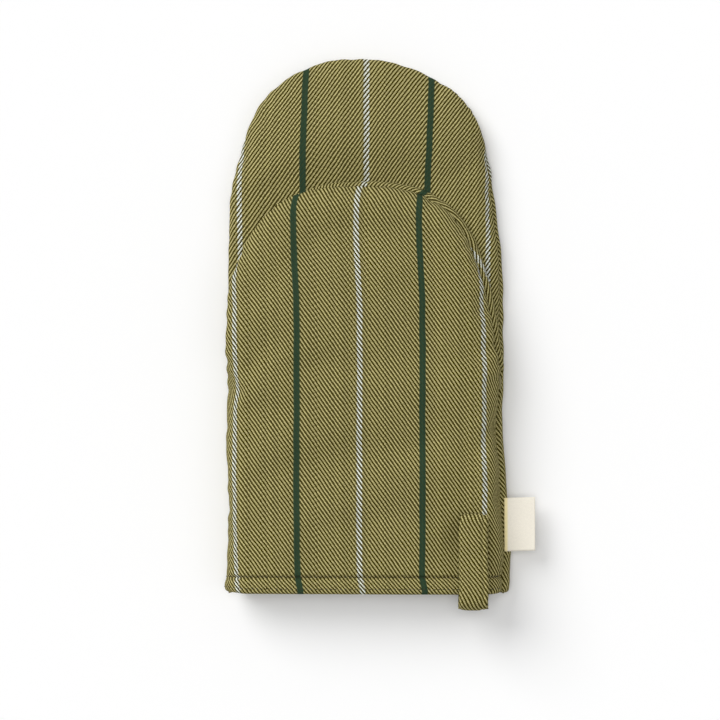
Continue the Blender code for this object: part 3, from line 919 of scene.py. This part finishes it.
# %% The hem's line of stitches
LINE_DEPTH, LINE_WIDTH = 0.0023, 0.0009
LINE_START, LINE_SOFT = 0.008, 0.010
PUFF, PUFF_Y, PUFF_WIDTH = 0.0004, 0.0065, 0.003
CORNER = 0.012
CORNER_PULL = np.array([-0.0004, 0.0009, 0.0])
for made in (front, back):
    across_hem = (made["grid"][..., 1] - stitch_y) / LINE_WIDTH
    whole = ease((made["seam"] - LINE_START) / LINE_SOFT)
    if made is front:
        whole = np.where(made["grid"][..., 0] > 0, 1.0, whole)
    near_side = ease((CORNER - HALF - made["grid"][..., 0]) / CORNER)
    near_cuff = ease((CUFF_Y + CORNER - made["grid"][..., 1]) / 0.010)
    made["grid"] = made["grid"] + (near_side * near_cuff)[..., None] * CORNER_PULL
    pinch = LINE_DEPTH * bell(across_hem) * whole
    puff = PUFF * bell((made["grid"][..., 1] - CUFF_Y - PUFF_Y) / PUFF_WIDTH)
    made["grid"] = made["grid"] + outward(made) * (puff - pinch)[..., None]
for name, made in panels.items():
    made["shift"] = made["grid"] - made["start"]
    print(name, "shifted up to", round(float(np.abs(made["shift"]).max()) * 1000, 1), "mm")


# %% Turned edges
HEM_TURN = 12
HEM_ROWS = HEM_TURN + 5
FOLD_ROWS = 10
ALLOWANCE = 0.0008


def with_rows(made, extra, more):
    """The panel with rows of points, and of their flat places, put before its first row."""
    made["grid"], made["flat"] = np.vstack([extra, made["grid"]]), np.vstack([more, made["flat"]])
    for name in ("seam", "place"):
        made[name] = np.vstack([np.repeat(made[name][:1], len(extra), axis=0), made[name]])
    return made


def hemmed(made):
    """The panel with its cuff edge turned in: half a circle, then the hem inside.

    The half circle goes from the outer face to the hem's ply, two radii inside, about the
    point midway between them.
    """
    arm = outward(made)[0] * HEM_RADIUS
    middle = made["grid"][0] - arm
    steps = np.linspace(0, np.pi, HEM_TURN + 1)[1:]
    rises = np.linspace(0, HEM - HEM_RADIUS, HEM_ROWS - HEM_TURN + 1)[1:]
    turned = [middle + arm * math.cos(s) - [0, HEM_RADIUS * math.sin(s), 0] for s in steps]
    inside = [turned[-1] + [0, rise, 0] for rise in rises]
    lengths = np.r_[steps * HEM_RADIUS, steps[-1] * HEM_RADIUS + rises]
    more = np.stack([made["flat"][0] - [0, back] for back in lengths])
    return with_rows(made, np.array(turned + inside)[::-1], more[::-1])


def folded_back(made):
    """The palm carried on round the crotch fold to where the thumb's underside begins.

    Half a circle about the fold's line, from the palm's lowest row to its mirror image.
    """
    row = made["grid"][0]
    centre = row * [1, 1, 0] + [0, 0, FOLD_Z]
    arm = row - centre
    reach = np.abs(arm[:, 2]).max()
    steps = np.linspace(0, np.pi, FOLD_ROWS + 1)[1:]
    extra = np.array([centre + arm * math.cos(s) - [0, reach * math.sin(s), 0] for s in steps])
    more = np.stack([made["flat"][0] - [0, reach * s] for s in steps])
    return with_rows(made, extra[::-1], more[::-1])


def with_allowance(made, line, flat_rows):
    """The panel with a seam allowance: at the seam the cloth turns straight in.

    Two more columns on each side and two more rows at the end lie level, a step further in
    along the outline's inward normal each. Where a row meets a column the steps also part a
    little along the seam. Over the lowest rows the turn fades out.
    """
    rows, columns = made["place"].shape
    padding = ((0, 2), (2, 2))
    down = np.r_[np.zeros(rows), 1, 2][:, None]
    across = np.r_[-2, -1, np.zeros(columns), 1, 2][None]
    full = ease((np.arange(rows + 2) - flat_rows) / 6)[:, None] * 0.96 + 0.04
    steps = np.maximum(down, np.abs(across)) * full
    part = -np.sign(across) * (down - np.abs(across)) * (down > 0) * 0.3
    place = np.pad(made["place"], padding, "edge")
    normal = at_lengths(place, line["along"], line["normals"])
    ahead = normal[..., ::-1] * [1, -1]
    way = ALLOWANCE * (part[..., None] * ahead - steps[..., None] * normal)
    level = np.concatenate([way, 0 * way[..., :1]], axis=-1)
    made["grid"] = np.pad(made["grid"], padding + ((0, 0),), "edge") + level
    made["flat"] = np.pad(made["flat"], padding + ((0, 0),), "edge") - way


with_allowance(hemmed(front), front_line, HEM_ROWS)
with_allowance(hemmed(back), back_line, HEM_ROWS)
with_allowance(folded_back(palm), palm_line, FOLD_ROWS)
with_allowance(under, under_line, 0)
print("rows and columns:", {name: made["place"].shape for name, made in panels.items()})


# %% [markdown]
# ## Covers and what carries them
# Each cover takes the place of its panel's solids. The hand carries the back and the palm.
# The front and the thumb's underside share a seam, and their placing is baked into their meshes.


def bend_at_crotch(item):
    """The thumb's two faces share a seam; here their placing is only baked into their meshes."""
    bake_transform(item)


def on_hand(item):
    """Rides on the hand."""
    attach(item, "hand")


def sewn(name, node, parts, material, slot="thread", carry=on_hand):
    """A piece of sewing made of points, faces and flat places, in the place of one node."""
    item = cloth_object(name, *parts, material, slot)
    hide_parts(node)
    carry(item)


# %% Covers
# The nodes of each panel, without their layer's name, and what carries it.
NODES = {
    "front": (("cuff_front", "thumb_front"), bend_at_crotch),
    "back": (("back",), on_hand),
    "palm": (("palm",), on_hand),
    "thumb_palm": (("thumb_palm",), bend_at_crotch),
}
for name, (nodes, carry) in NODES.items():
    cover = shell(name + "_cover", panels[name], 0.0, CLOTH, TWILLS[name], "twill")
    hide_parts(*[node + "_outer" for node in nodes])
    carry(cover)

# %% [markdown]
# ## Wadding and lining
# Inside each cover lie a soft felt of fibres and a thin plain-woven lining. They are made in
# the same way as the covers, from the same outline drawn in by their depth, so they share
# the covers' settled shape. At the crotch the palm's layers go round the fold, as a bar
# between the two pockets that shows when one looks in at the cuff.


# %% Inner materials
# Width and soft edge of the band of painted reflection at a ribbon's ends.
REFLECTION_BAND, REFLECTION_SOFT = 0.0026, 0.0012


def cloth_material(name, colour, roughness, threads, relief, patchy=0.12, end=None, length=1.0):
    """A fine even weave: sines along both directions of the cloth, uneven patches, and painted
    shade where the weave lies low.

    Where end is given, it paints a narrow yellowish band at both ends of a cloth of that length: a
    painted reflection of the twill beside the seam.
    """
    material, g, shader = new_surface(name, roughness, 0.15)
    place, x, y = flat_place(g)
    turn = 2 * math.pi / threads
    across = g.math("SINE", g.math("MULTIPLY", x, turn))
    along = g.math("SINE", g.math("MULTIPLY", y, turn))
    weave = g.math("MULTIPLY", across, along)
    height = g.math("MULTIPLY_ADD", weave, 0.5, g.noise(place, 700.0, 3.0))
    tone = g.math("MULTIPLY_ADD", g.noise(place, 40.0, 3.0), patchy * 2, 1 - patchy)
    # The colour is made darker where the weave lies low: painted shade in its hollows.
    tone = g.math("MULTIPLY", tone, g.math("MULTIPLY_ADD", height, 0.12, 0.94))
    # The end band is painted reflection: a yellow tint of the twill where the ribbon's ends go into
    # the seam.
    if end is not None:
        from_end = g.math("PINGPONG", x, length / 2)
        painted_reflection = g.math("MULTIPLY_ADD", from_end, -1 / REFLECTION_SOFT, REFLECTION_BAND / REFLECTION_SOFT, clamp=True)
        colour = g.mix(painted_reflection, colour, end)
    g.feed(shader.inputs["Base Color"], g.toned(colour, tone))
    raise_surface(g, shader, height, relief)
    return material


LINING_CLOTH = cloth_material("lining_cloth", srgb(118, 110, 72), 0.9, 0.0009, 0.00012)
FELT = cloth_material("wadding_felt", srgb(226, 222, 208), 0.95, 0.0050, 0.0006)


# %% Inner layers
HEM_PRESS, HEM_REACH = 0.65, 0.003
SEAM_LEFT, SEAM_REACH = 0.45, 0.010


def inner_height(line, away):
    """Where the layers of the two panels meet: the seam's height, but clear of the fold."""
    y = line["points"][:, 1]
    seam = seam_height(y, away)
    past = FOLD_Z + math.copysign(0.0050, away - FOLD_Z) * ease((y - (CROTCH_Y - 0.017)) / 0.014)
    return np.minimum(seam, past) if away < FOLD_Z else np.maximum(seam, past)


def inner_panel(line, keys, away, flat_z, face, cells, crown, depth):
    """A panel's layer at a depth below its outer face, with its seams drawn in alike."""
    wrap = keyed(line["along"], keys, 8.0)
    seam_z = inner_height(line, away)
    lifted = np.abs(seam_z - seam_height(line["points"][:, 1], away))
    inset = np.abs(wrap) + depth + 0.25 * lifted
    moved = dict(line, points=line["points"] - line["normals"] * inset[:, None])
    seam_z = seam_z + face * 0.00025
    cells = (cells[0] // 2, cells[1] // 2)
    width = RIM - 0.5 * depth
    return panel(moved, 0 * wrap, seam_z, flat_z - face * depth, face, cells, crown, width)


def squeezed(made):
    """How thick a layer is left: it is pressed thin at the seams and under the hem's stitches."""
    at_hem = 1 - HEM_PRESS * bell((made["grid"][..., 1] - stitch_y) / HEM_REACH)
    at_seam = SEAM_LEFT + (1 - SEAM_LEFT) * ease(made["seam"] / SEAM_REACH)
    return (at_hem * at_seam)[..., None]


# %% Felts and linings
LAYERS_START = CUFF_Y + 0.008
KINDS = [("wadding", "felt", WADDING_DEPTH, WADDING / 2, FELT)]
KINDS += [("lining", "lining_cloth", LINING_DEPTH + LINING / 2, LINING / 2, LINING_CLOTH)]


def add_layers(panel_name):
    """The wadding and the lining of one panel, which follow what its cover was moved by."""
    nodes, carry = NODES[panel_name]
    for kind, title, depth, half, material in KINDS:
        layer = inner_panel(*PANELS[panel_name], depth)
        layer["grid"] = layer["grid"] + panels[panel_name]["shift"][::2, ::2]
        hidden = int((layer["grid"][..., 1].mean(1) < LAYERS_START).sum())
        layer = {key: value if key == "face" else value[hidden:] for key, value in layer.items()}
        thick = half * squeezed(layer)
        if panel_name == "palm":
            layer["grid"] = layer["grid"] + swell(layer)
            thick = half * squeezed(folded_back(layer))
        item = shell(panel_name + "_" + title, layer, -thick, thick, material, kind)
        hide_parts(*[node + "_" + kind for node in nodes])
        carry(item)


for name in panels:
    add_layers(name)

# %% [markdown]
# ## Threads
# The seams are sewn from the inside, so their threads are only seen there. The hem is
# topstitched through both plies, and a bar of close stitches holds each end of the crotch.
# A seam thread is a round section carried along a wavy path; a stitch is a short round
# body whose ends dip into the cloth.


# %% Thread materials
def thread_material(name, colour):
    """Twisted thread: fine slanting ridges along it, with painted shade in the grooves between
    them.
    """
    material, g, shader = new_surface(name, 0.7)
    _, x, y = flat_place(g)
    turned = g.math("ADD", g.math("MULTIPLY", y, 7000.0), g.math("MULTIPLY", x, 9000.0))
    ridge = g.math("MULTIPLY_ADD", g.math("SINE", turned), 0.5, 0.5)
    # The grooves between the ridges get a darker copy of the colour: painted shade.
    painted_groove_shade = tuple(0.55 * c for c in colour[:3]) + (1.0,)
    g.feed(shader.inputs["Base Color"], g.mix(ridge, painted_groove_shade, colour))
    raise_surface(g, shader, ridge, 0.00005)
    return material


SEAM_THREAD = thread_material("seam_thread", srgb(40, 34, 10))
TACK_THREAD = thread_material("tack_thread", srgb(168, 158, 110))


# %% Tubes
def tube_parts(path, radius, sides=6):
    """A round section carried along a path, shrunk almost to a point and closed at its ends."""
    ahead = unit(np.gradient(path, axis=0))
    reference = np.where(np.abs(ahead[:, 2:]) > 0.9, [[1.0, 0, 0]], [[0, 0, 1.0]])
    side = unit(np.cross(ahead, reference))
    top = np.cross(side, ahead)
    turn = np.linspace(0, 2 * np.pi, sides, endpoint=False)
    size = np.full(len(path), radius)
    size[[0, -1]] = radius * 0.05
    ring = side[:, None] * np.cos(turn)[:, None] + top[:, None] * np.sin(turn)[:, None]
    points = path[:, None] + ring * size[:, None, None]
    at = np.arange(len(path) * sides).reshape(len(path), sides)
    after = np.roll(at, -1, axis=1)
    faces = np.stack([at[:-1], after[:-1], after[1:], at[1:]], axis=-1).reshape(-1, 4)
    ends = [at[0, [0, 3, 2, 1]], at[0, [0, 5, 4, 3]], at[-1, [0, 1, 2, 3]], at[-1, [0, 3, 4, 5]]]
    length = length_along(path)
    flat = np.stack(np.broadcast_arrays(turn[None] * radius, length[:, None]), axis=-1)
    return points.reshape(-1, 3), np.vstack([faces, ends]), flat.reshape(-1, 2)


def joined(parts):
    """Several sets of points, faces and flat places as one."""
    points, faces, flats = zip(*parts)
    starts = np.r_[0, np.cumsum([len(part) for part in points])[:-1]]
    faces = [part + start for part, start in zip(faces, starts)]
    return np.vstack(points), np.vstack(faces), np.vstack(flats)


# %% Seam stitching
THREAD = 0.00028
ZIGZAG, ZIGZAG_PITCH = 0.0007, 0.0045


def seam_path(line, keys, z, low, high=1.0, side=0):
    """A zigzag along the inside of a seam: its edge drawn in, up and down in turn."""
    wrap = keyed(line["along"], keys, 8.0)
    y = line["points"][:, 1]
    keep = (y >= low) & (y <= high) & ((line["along"] * side > 0) | (side == 0))
    inset = (np.abs(wrap) + LINING_DEPTH + LINING + 0.0007)[:, None]
    path = (line["points"] - line["normals"] * inset)[keep]
    rise = ZIGZAG * np.sin(2 * np.pi * line["along"][keep] / ZIGZAG_PITCH)
    return np.column_stack([path, (z + 0 * y)[keep] + rise])


above_fold, cuff_part = CROTCH_Y + 0.002, (FOLD_Z, CUFF_Y + HEM + 0.001, CROTCH_Y - 0.012)
hand_z, thumb_z = inner_height(palm_line, HAND_SEAM_Z), inner_height(under_line, THUMB_SEAM_Z)
threads = {
    "hand_seam_thread": (palm_line, HAND_WRAP, hand_z, above_fold),
    "thumb_seam_thread": (under_line, THUMB_WRAP, thumb_z, above_fold),
    "cuff_seam_thread_right": (back_line, HAND_WRAP, *cuff_part, 1),
    "cuff_seam_thread_left": (back_line, HAND_WRAP, *cuff_part, -1),
}
for node, path in threads.items():
    parts = tube_parts(seam_path(*path), THREAD)
    carry = bend_at_crotch if node == "thumb_seam_thread" else on_hand
    sewn(node.replace("thread", "stitching"), node, parts, SEAM_THREAD, carry=carry)


# %% Hem stitches
PITCH = 0.0031
EDGE_Y = CUFF_Y + 0.0034
SIDE_CELLS = 7


def stitches(line, up, length, radius, lift, seed):
    """Round stitches along a line: each a shallow bow whose ends dip into the cloth.

    With t from -1 to 1 along a stitch it stands lift (1 - t^2) - dip t^4 above the cloth.
    """
    line, up = line[SIDE_CELLS:-SIDE_CELLS], up[SIDE_CELLS:-SIDE_CELLS]
    along = length_along(line)
    count = int((along[-1] - PITCH) / PITCH)
    random = np.random.default_rng(seed)
    places = (np.arange(count) + 0.7) * PITCH + random.uniform(-0.1, 0.1, count) * PITCH
    share = np.linspace(-0.5, 0.5, 7)
    bow = lift * (1 - (2 * share) ** 2) - 0.0004 * (2 * share) ** 4
    parts = []
    for at in places:
        path, rise = at_lengths(at + share * length, along, line), at_lengths(at, along, up)
        parts.append(tube_parts(path + rise * bow[:, None], radius))
    return joined(parts)


def hem_line(made, y, inside):
    """The row of a hemmed panel nearest the height y on its outer or inner ply."""
    normals = outward(made)
    rows = made["grid"][..., 1].mean(1)
    number = np.arange(len(rows))
    ply = number < HEM_ROWS - HEM_TURN + 1 if inside else number > HEM_ROWS
    row = np.where(ply, np.abs(rows - y), 1.0).argmin()
    return made["grid"][row], normals[row]


def hem_stitches(name, made, node, with_edge):
    """Topstitching on both sides of a hem, and finer stitches near its edge."""
    parts = [
        stitches(*hem_line(made, stitch_y, inside), 0.0025, 0.00027, 0.00015, seed)
        for inside, seed in ((False, 21), (True, 22))
    ]
    if with_edge:
        parts.append(stitches(*hem_line(made, EDGE_Y, False), 0.0015, 0.00026, 0.00012, 23))
    sewn(name, node, joined(parts), SEAM_THREAD)


hem_stitches("front_hem_stitches", front, "front_hem_stitch", True)
hem_stitches("back_hem_stitches", back, "back_hem_stitch", False)


# %% Bar tacks
TACK_TURNS, TACK_LENGTH = 13, 0.0085
TACK_Y = CROTCH_Y - 0.003


def tack(end, side, inset, rise):
    """A bar tack: thread wound round a flat core that lies along the seam, as a helix."""
    t = np.linspace(0, 1, TACK_TURNS * 12)
    angle = 2 * np.pi * TACK_TURNS * t
    x = side_x(hand_outline, TACK_Y, side) - side * inset
    x = x + 0.0006 * np.cos(angle) + side * 0.0003 * np.sin(np.pi * t)
    y = TACK_Y + (t - 0.5) * TACK_LENGTH
    z = FOLD_Z + rise + 0.0013 * np.sin(angle)
    parts = tube_parts(np.stack([x, y, z], axis=1), 0.00032)
    sewn("crotch_bar_" + end, "crotch_tack_" + end, parts, TACK_THREAD)


tack("right", 1, 0.0027, 0.0008)
tack("left", -1, 0.0010, 0.0012)

# %% [markdown]
# ## Hanging loop
# The loop is a tape of the same twill with its edges folded in, so it is soft and rounded.
# Both its ends are sewn into the cuff, and it is flipped up over the front. One section, a
# flattened superellipse with a shallow channel near its folded edge, is carried along the
# loop's line: up from the cuff, along the front, round the far fold and back.

# %% Loop
tail_low, tail_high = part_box("loop_tail")
loop_low, loop_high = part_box("hanging_loop")
LOOP_X = (loop_low.x + loop_high.x) / 2
LOOP_HALF = (loop_high.x - loop_low.x) / 2
TAPE_HALF = 0.0022
CHANNEL_X, CHANNEL_WIDTH = 0.0060, 0.0008
LOWER_DEPTH = 0.0067


def arc_path(centre, radius, start, end, count=14):
    """Points (y, z) of an arc between two angles in degrees."""
    angle = np.radians(np.linspace(start, end, count))
    return np.array(centre) + radius * np.stack([np.cos(angle), np.sin(angle)], axis=1)


def level_path(start, end, z, count=24):
    """Points (y, z) of a level line."""
    return np.stack([np.linspace(start, end, count), np.full(count, z)], axis=1)


def tape_section(half_width, half_height, channel=0.0):
    """Points (across, up) of the tape, counter-clockwise seen along it, and their girth.

    x = w cos^0.66 and z = h sin^0.95 of the turn, less a narrow bell where the channel is.
    """
    turn = np.linspace(0, 2 * np.pi, 57)[:-1]
    x = half_width * np.sign(np.cos(turn)) * np.abs(np.cos(turn)) ** 0.66
    z = half_height * np.sign(np.sin(turn)) * np.abs(np.sin(turn)) ** 0.95
    z -= channel * bell((x - CHANNEL_X) / CHANNEL_WIDTH) * np.sign(z)
    girth = np.r_[0, np.cumsum(np.hypot(np.diff(x), np.diff(z)))]
    return np.stack([x, z], axis=1), girth


def tape(path, section, girth, centre_x, narrowing, flatness, lean, seed):
    """The section carried along a line in the (y, z) plane, with closed ends.

    The three functions give, by the share of the line, how much narrower the tape is, how
    plump, and how far it leans to the right.
    """
    ahead = unit(np.gradient(path, axis=0))
    up = np.stack([-ahead[:, 1], ahead[:, 0]], axis=1)
    length = length_along(path)
    share = length / length[-1]
    sway = 0.00025 * waves(length, seed, 0.02, 0.06)[:, None]
    x = centre_x + section[:, 0] * (1 - narrowing(share))[:, None] + sway
    plump = flatness(share) * (1 + 0.10 * waves(length, seed + 1, 0.012, 0.04))
    rise = section[:, 1] * plump[:, None] + lean(share)[:, None] * section[:, 0]
    points = np.stack([x, path[:, :1] + up[:, :1] * rise, path[:, 1:] + up[:, 1:] * rise], axis=-1)
    rows, sides = points.shape[:2]
    at = np.arange(rows * sides).reshape(rows, sides)
    after = np.roll(at, -1, axis=1)
    faces = np.stack([at[:-1], at[1:], after[1:], after[:-1]], axis=-1).reshape(-1, 4)
    half = sides // 2
    low = np.arange(half)
    cap = np.stack([low, low + 1, sides - 1 - low, (sides - low) % sides], axis=1)[1 : half - 1]
    first, last = at[0][cap], at[-1][cap][:, ::-1]
    flat = np.stack(np.broadcast_arrays(girth[None] - girth[sides // 4], -length[:, None]), axis=-1)
    return points.reshape(-1, 3), np.vstack([faces, first, last]), flat.reshape(-1, 2)


# %% The loop's line
lower_z, upper_z = loop_high.z - LOWER_DEPTH, loop_high.z - TAPE_HALF
fold_radius = (upper_z - lower_z) / 2
fold_y = loop_high.y - fold_radius - TAPE_HALF
cuff_end = loop_low.y + TAPE_HALF
root_z = tail_high.z + 0.0005
bend = 0.0042
inner_y = cuff_end + 2 * TAPE_HALF + 0.0002
line = [
    np.array([[inner_y, root_z], [inner_y, root_z + 0.002]]),
    arc_path((inner_y + bend, lower_z - bend), bend, 180, 90),
    level_path(inner_y + bend + 0.002, fold_y - 0.002, lower_z),
    arc_path((fold_y, lower_z + fold_radius), fold_radius, -90, 90),
    level_path(fold_y - 0.002, cuff_end + bend + 0.004, upper_z),
    arc_path((cuff_end + bend + 0.002, upper_z - bend - 0.002), bend + 0.002, 90, 180),
    np.array([[cuff_end, root_z + 0.002], [cuff_end, root_z]]),
]
far_fold = sum(len(part) for part in line[:3]) + len(line[3]) // 2
line = np.vstack(line)
along = length_along(line)
far_fold = along[far_fold] / along[-1]
even = at_lengths(np.linspace(0, along[-1], 190), along, line)
loop_line = np.stack([rounded(values, 1.2) for values in even.T], axis=1)
print("tape length mm", round(float(along[-1]) * 1000), "far fold at", round(far_fold, 2))


# %% Loop and tail
def pinched(share):
    """The tape is a little narrower where it turns: at the far fold and at the cuff."""
    return 0.05 * bell((share - far_fold) / 0.02) + 0.04 * bell((share - 0.93) / 0.03)


def pressed(share):
    """The lower half of the loop is pressed flat between the glove and the upper half."""
    return 0.58 + 0.42 * ease((share - far_fold + 0.03) / 0.05)


def leaning(share):
    """The upper half of the loop leans to the right, most of all near the far fold."""
    return 0.09 * ease((share - far_fold) / 0.06) * (1 - ease((share - 0.80) / 0.14))


section = tape_section(LOOP_HALF - 0.0004, TAPE_HALF, 0.0006)
loop_parts = tape(loop_line, *section, LOOP_X - 0.0004, pinched, pressed, leaning, 31)
hanging = cloth_object("hanging_loop_tape", *loop_parts, LOOP_TWILL, "tape")
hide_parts("hanging_loop")
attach(hanging, "loop")

tail_half = (tail_high.z - tail_low.z) / 2
tail_line = level_path(tail_high.y - 0.0005, tail_low.y + 0.0006, tail_low.z + tail_half)
section, plain = tape_section(LOOP_HALF, tail_half * 0.92), np.zeros_like
tail_parts = tape(tail_line, *section, LOOP_X, plain, np.ones_like, plain, 33)
sewn("loop_tail_tape", "loop_tail", tail_parts, LOOP_TWILL, "tape")

# %% [markdown]
# ## Label tab
# A cream ribbon folded in half, with both ends in the side seam. It is bare. Its line goes
# out, round the fold and back, and it curls a little along its length.

# %% The ribbon's shape
tab_low, tab_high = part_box("side_label")
ribbon = 0.0004
gap = (tab_high.z - tab_low.z - 2 * ribbon) / 2
middle_z = (tab_high.z + tab_low.z) / 2
reach_x = tab_high.x - ribbon - gap
out = np.linspace(tab_low.x - 0.0006, reach_x, 26)
round_end = arc_path((reach_x, middle_z), gap + ribbon, 90, -90, 9)[1:-1]
top_half = np.stack([out, out * 0 + middle_z + gap + ribbon], axis=1)
low_half = np.stack([out[::-1], out * 0 + middle_z - gap - ribbon], axis=1)
tab_line = np.vstack([top_half, round_end, low_half])
tab_y = np.linspace(tab_low.y, tab_high.y, 30)[:, None]

# The free end lifts by 0.6 mm times a slow cosine along the tab, and slides a little.
reach = np.maximum(tab_line[:, 0] - tab_low.x, 0) / (tab_high.x - tab_low.x)
curl = np.cos((tab_y - tab_low.y) / 0.034 * 2.6 + 0.4)
lift = 0.0006 * reach**1.5 * curl + 0.0003 * reach**2
tab_grid = [tab_line[:, 0] + 0 * lift, tab_y + 0.0006 * reach, tab_line[:, 1] + lift]
tab_length = length_along(tab_line)
tab_flat = np.stack(np.broadcast_arrays(tab_length, tab_y), axis=-1)
tab = {"grid": np.stack(tab_grid, axis=-1), "flat": tab_flat, "face": 1}

# %% Label
# The yellowish colour at the ribbon's ends is painted reflection of the twill at the seam.
ends = {"end": srgb(247, 232, 178), "length": float(tab_length[-1])}
RIBBON = cloth_material("label_ribbon", srgb(242, 236, 222), 0.75, 0.0006, 0.00006, 0.03, **ends)
label = shell("side_label_tab", tab, 0.0, ribbon, RIBBON, "label")
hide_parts("side_label")
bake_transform(label)

# %% [markdown]
# ## Floor and light
# The glove lies on a plain pale floor. One broad lamp stands above on the left, so that the
# shadow falls to the lower right with a wide soft edge, and an even white world fills in.

# %% Floor and light
FLOOR_HALF, FLOOR_Z = 3.0, -0.0003
corners = [[x * FLOOR_HALF, y * FLOOR_HALF, FLOOR_Z] for y in (-1, 1) for x in (-1, 1)]
floor = new_object("floor", mesh_of("floor", np.array(corners), grid_faces(2, 2)))
floor_paint, _, floor_shader = new_surface("floor_paint", 1.0, 0.0)
floor_shader.inputs["Base Color"].default_value = (0.98, 0.98, 0.98, 1.0)
floor.data.materials.append(floor_paint)

# %% Lamps and world
# Level, way the light goes, and width of the lamp in degrees. With the sky they add up to
# about 1 on a level surface, so that a colour renders as it is written.
SKY = 0.27
LAMPS = {
    "lamp_above": (0.34, (0.05, -0.05, -1.0), 30),
    "lamp_left": (0.36, (0.85, -0.85, -1.0), 38),
    "lamp_right": (0.05, (-0.60, 0.10, -1.0), 40),
}
for name, (level, way, width) in LAMPS.items():
    way = Vector(way).normalized()
    data = bpy.data.lights.new(name, "SUN")
    data.energy = level * math.pi / -way.z
    data.angle = math.radians(width)
    new_object(name, data).rotation_euler = way.to_track_quat("-Z", "Y").to_euler()

world = bpy.data.worlds.new("white_room")
world.use_nodes = True
sky = world.node_tree.nodes["Background"]
g = Graph(world.node_tree)
path = g.node("ShaderNodeLightPath")
sky.inputs["Color"].default_value = (1, 1, 1, 1)
seen = g.math("MAXIMUM", path.outputs["Is Camera Ray"], path.outputs["Is Glossy Ray"])
seen = g.math("MAXIMUM", seen, path.outputs["Is Transmission Ray"])
g.feed(sky.inputs["Strength"], g.math("MULTIPLY_ADD", seen, 1 - SKY, SKY))
bpy.context.scene.world = world
bpy.context.scene.view_settings.view_transform = "Standard"
print("light level", SKY + sum(level for level, _, _ in LAMPS.values()))
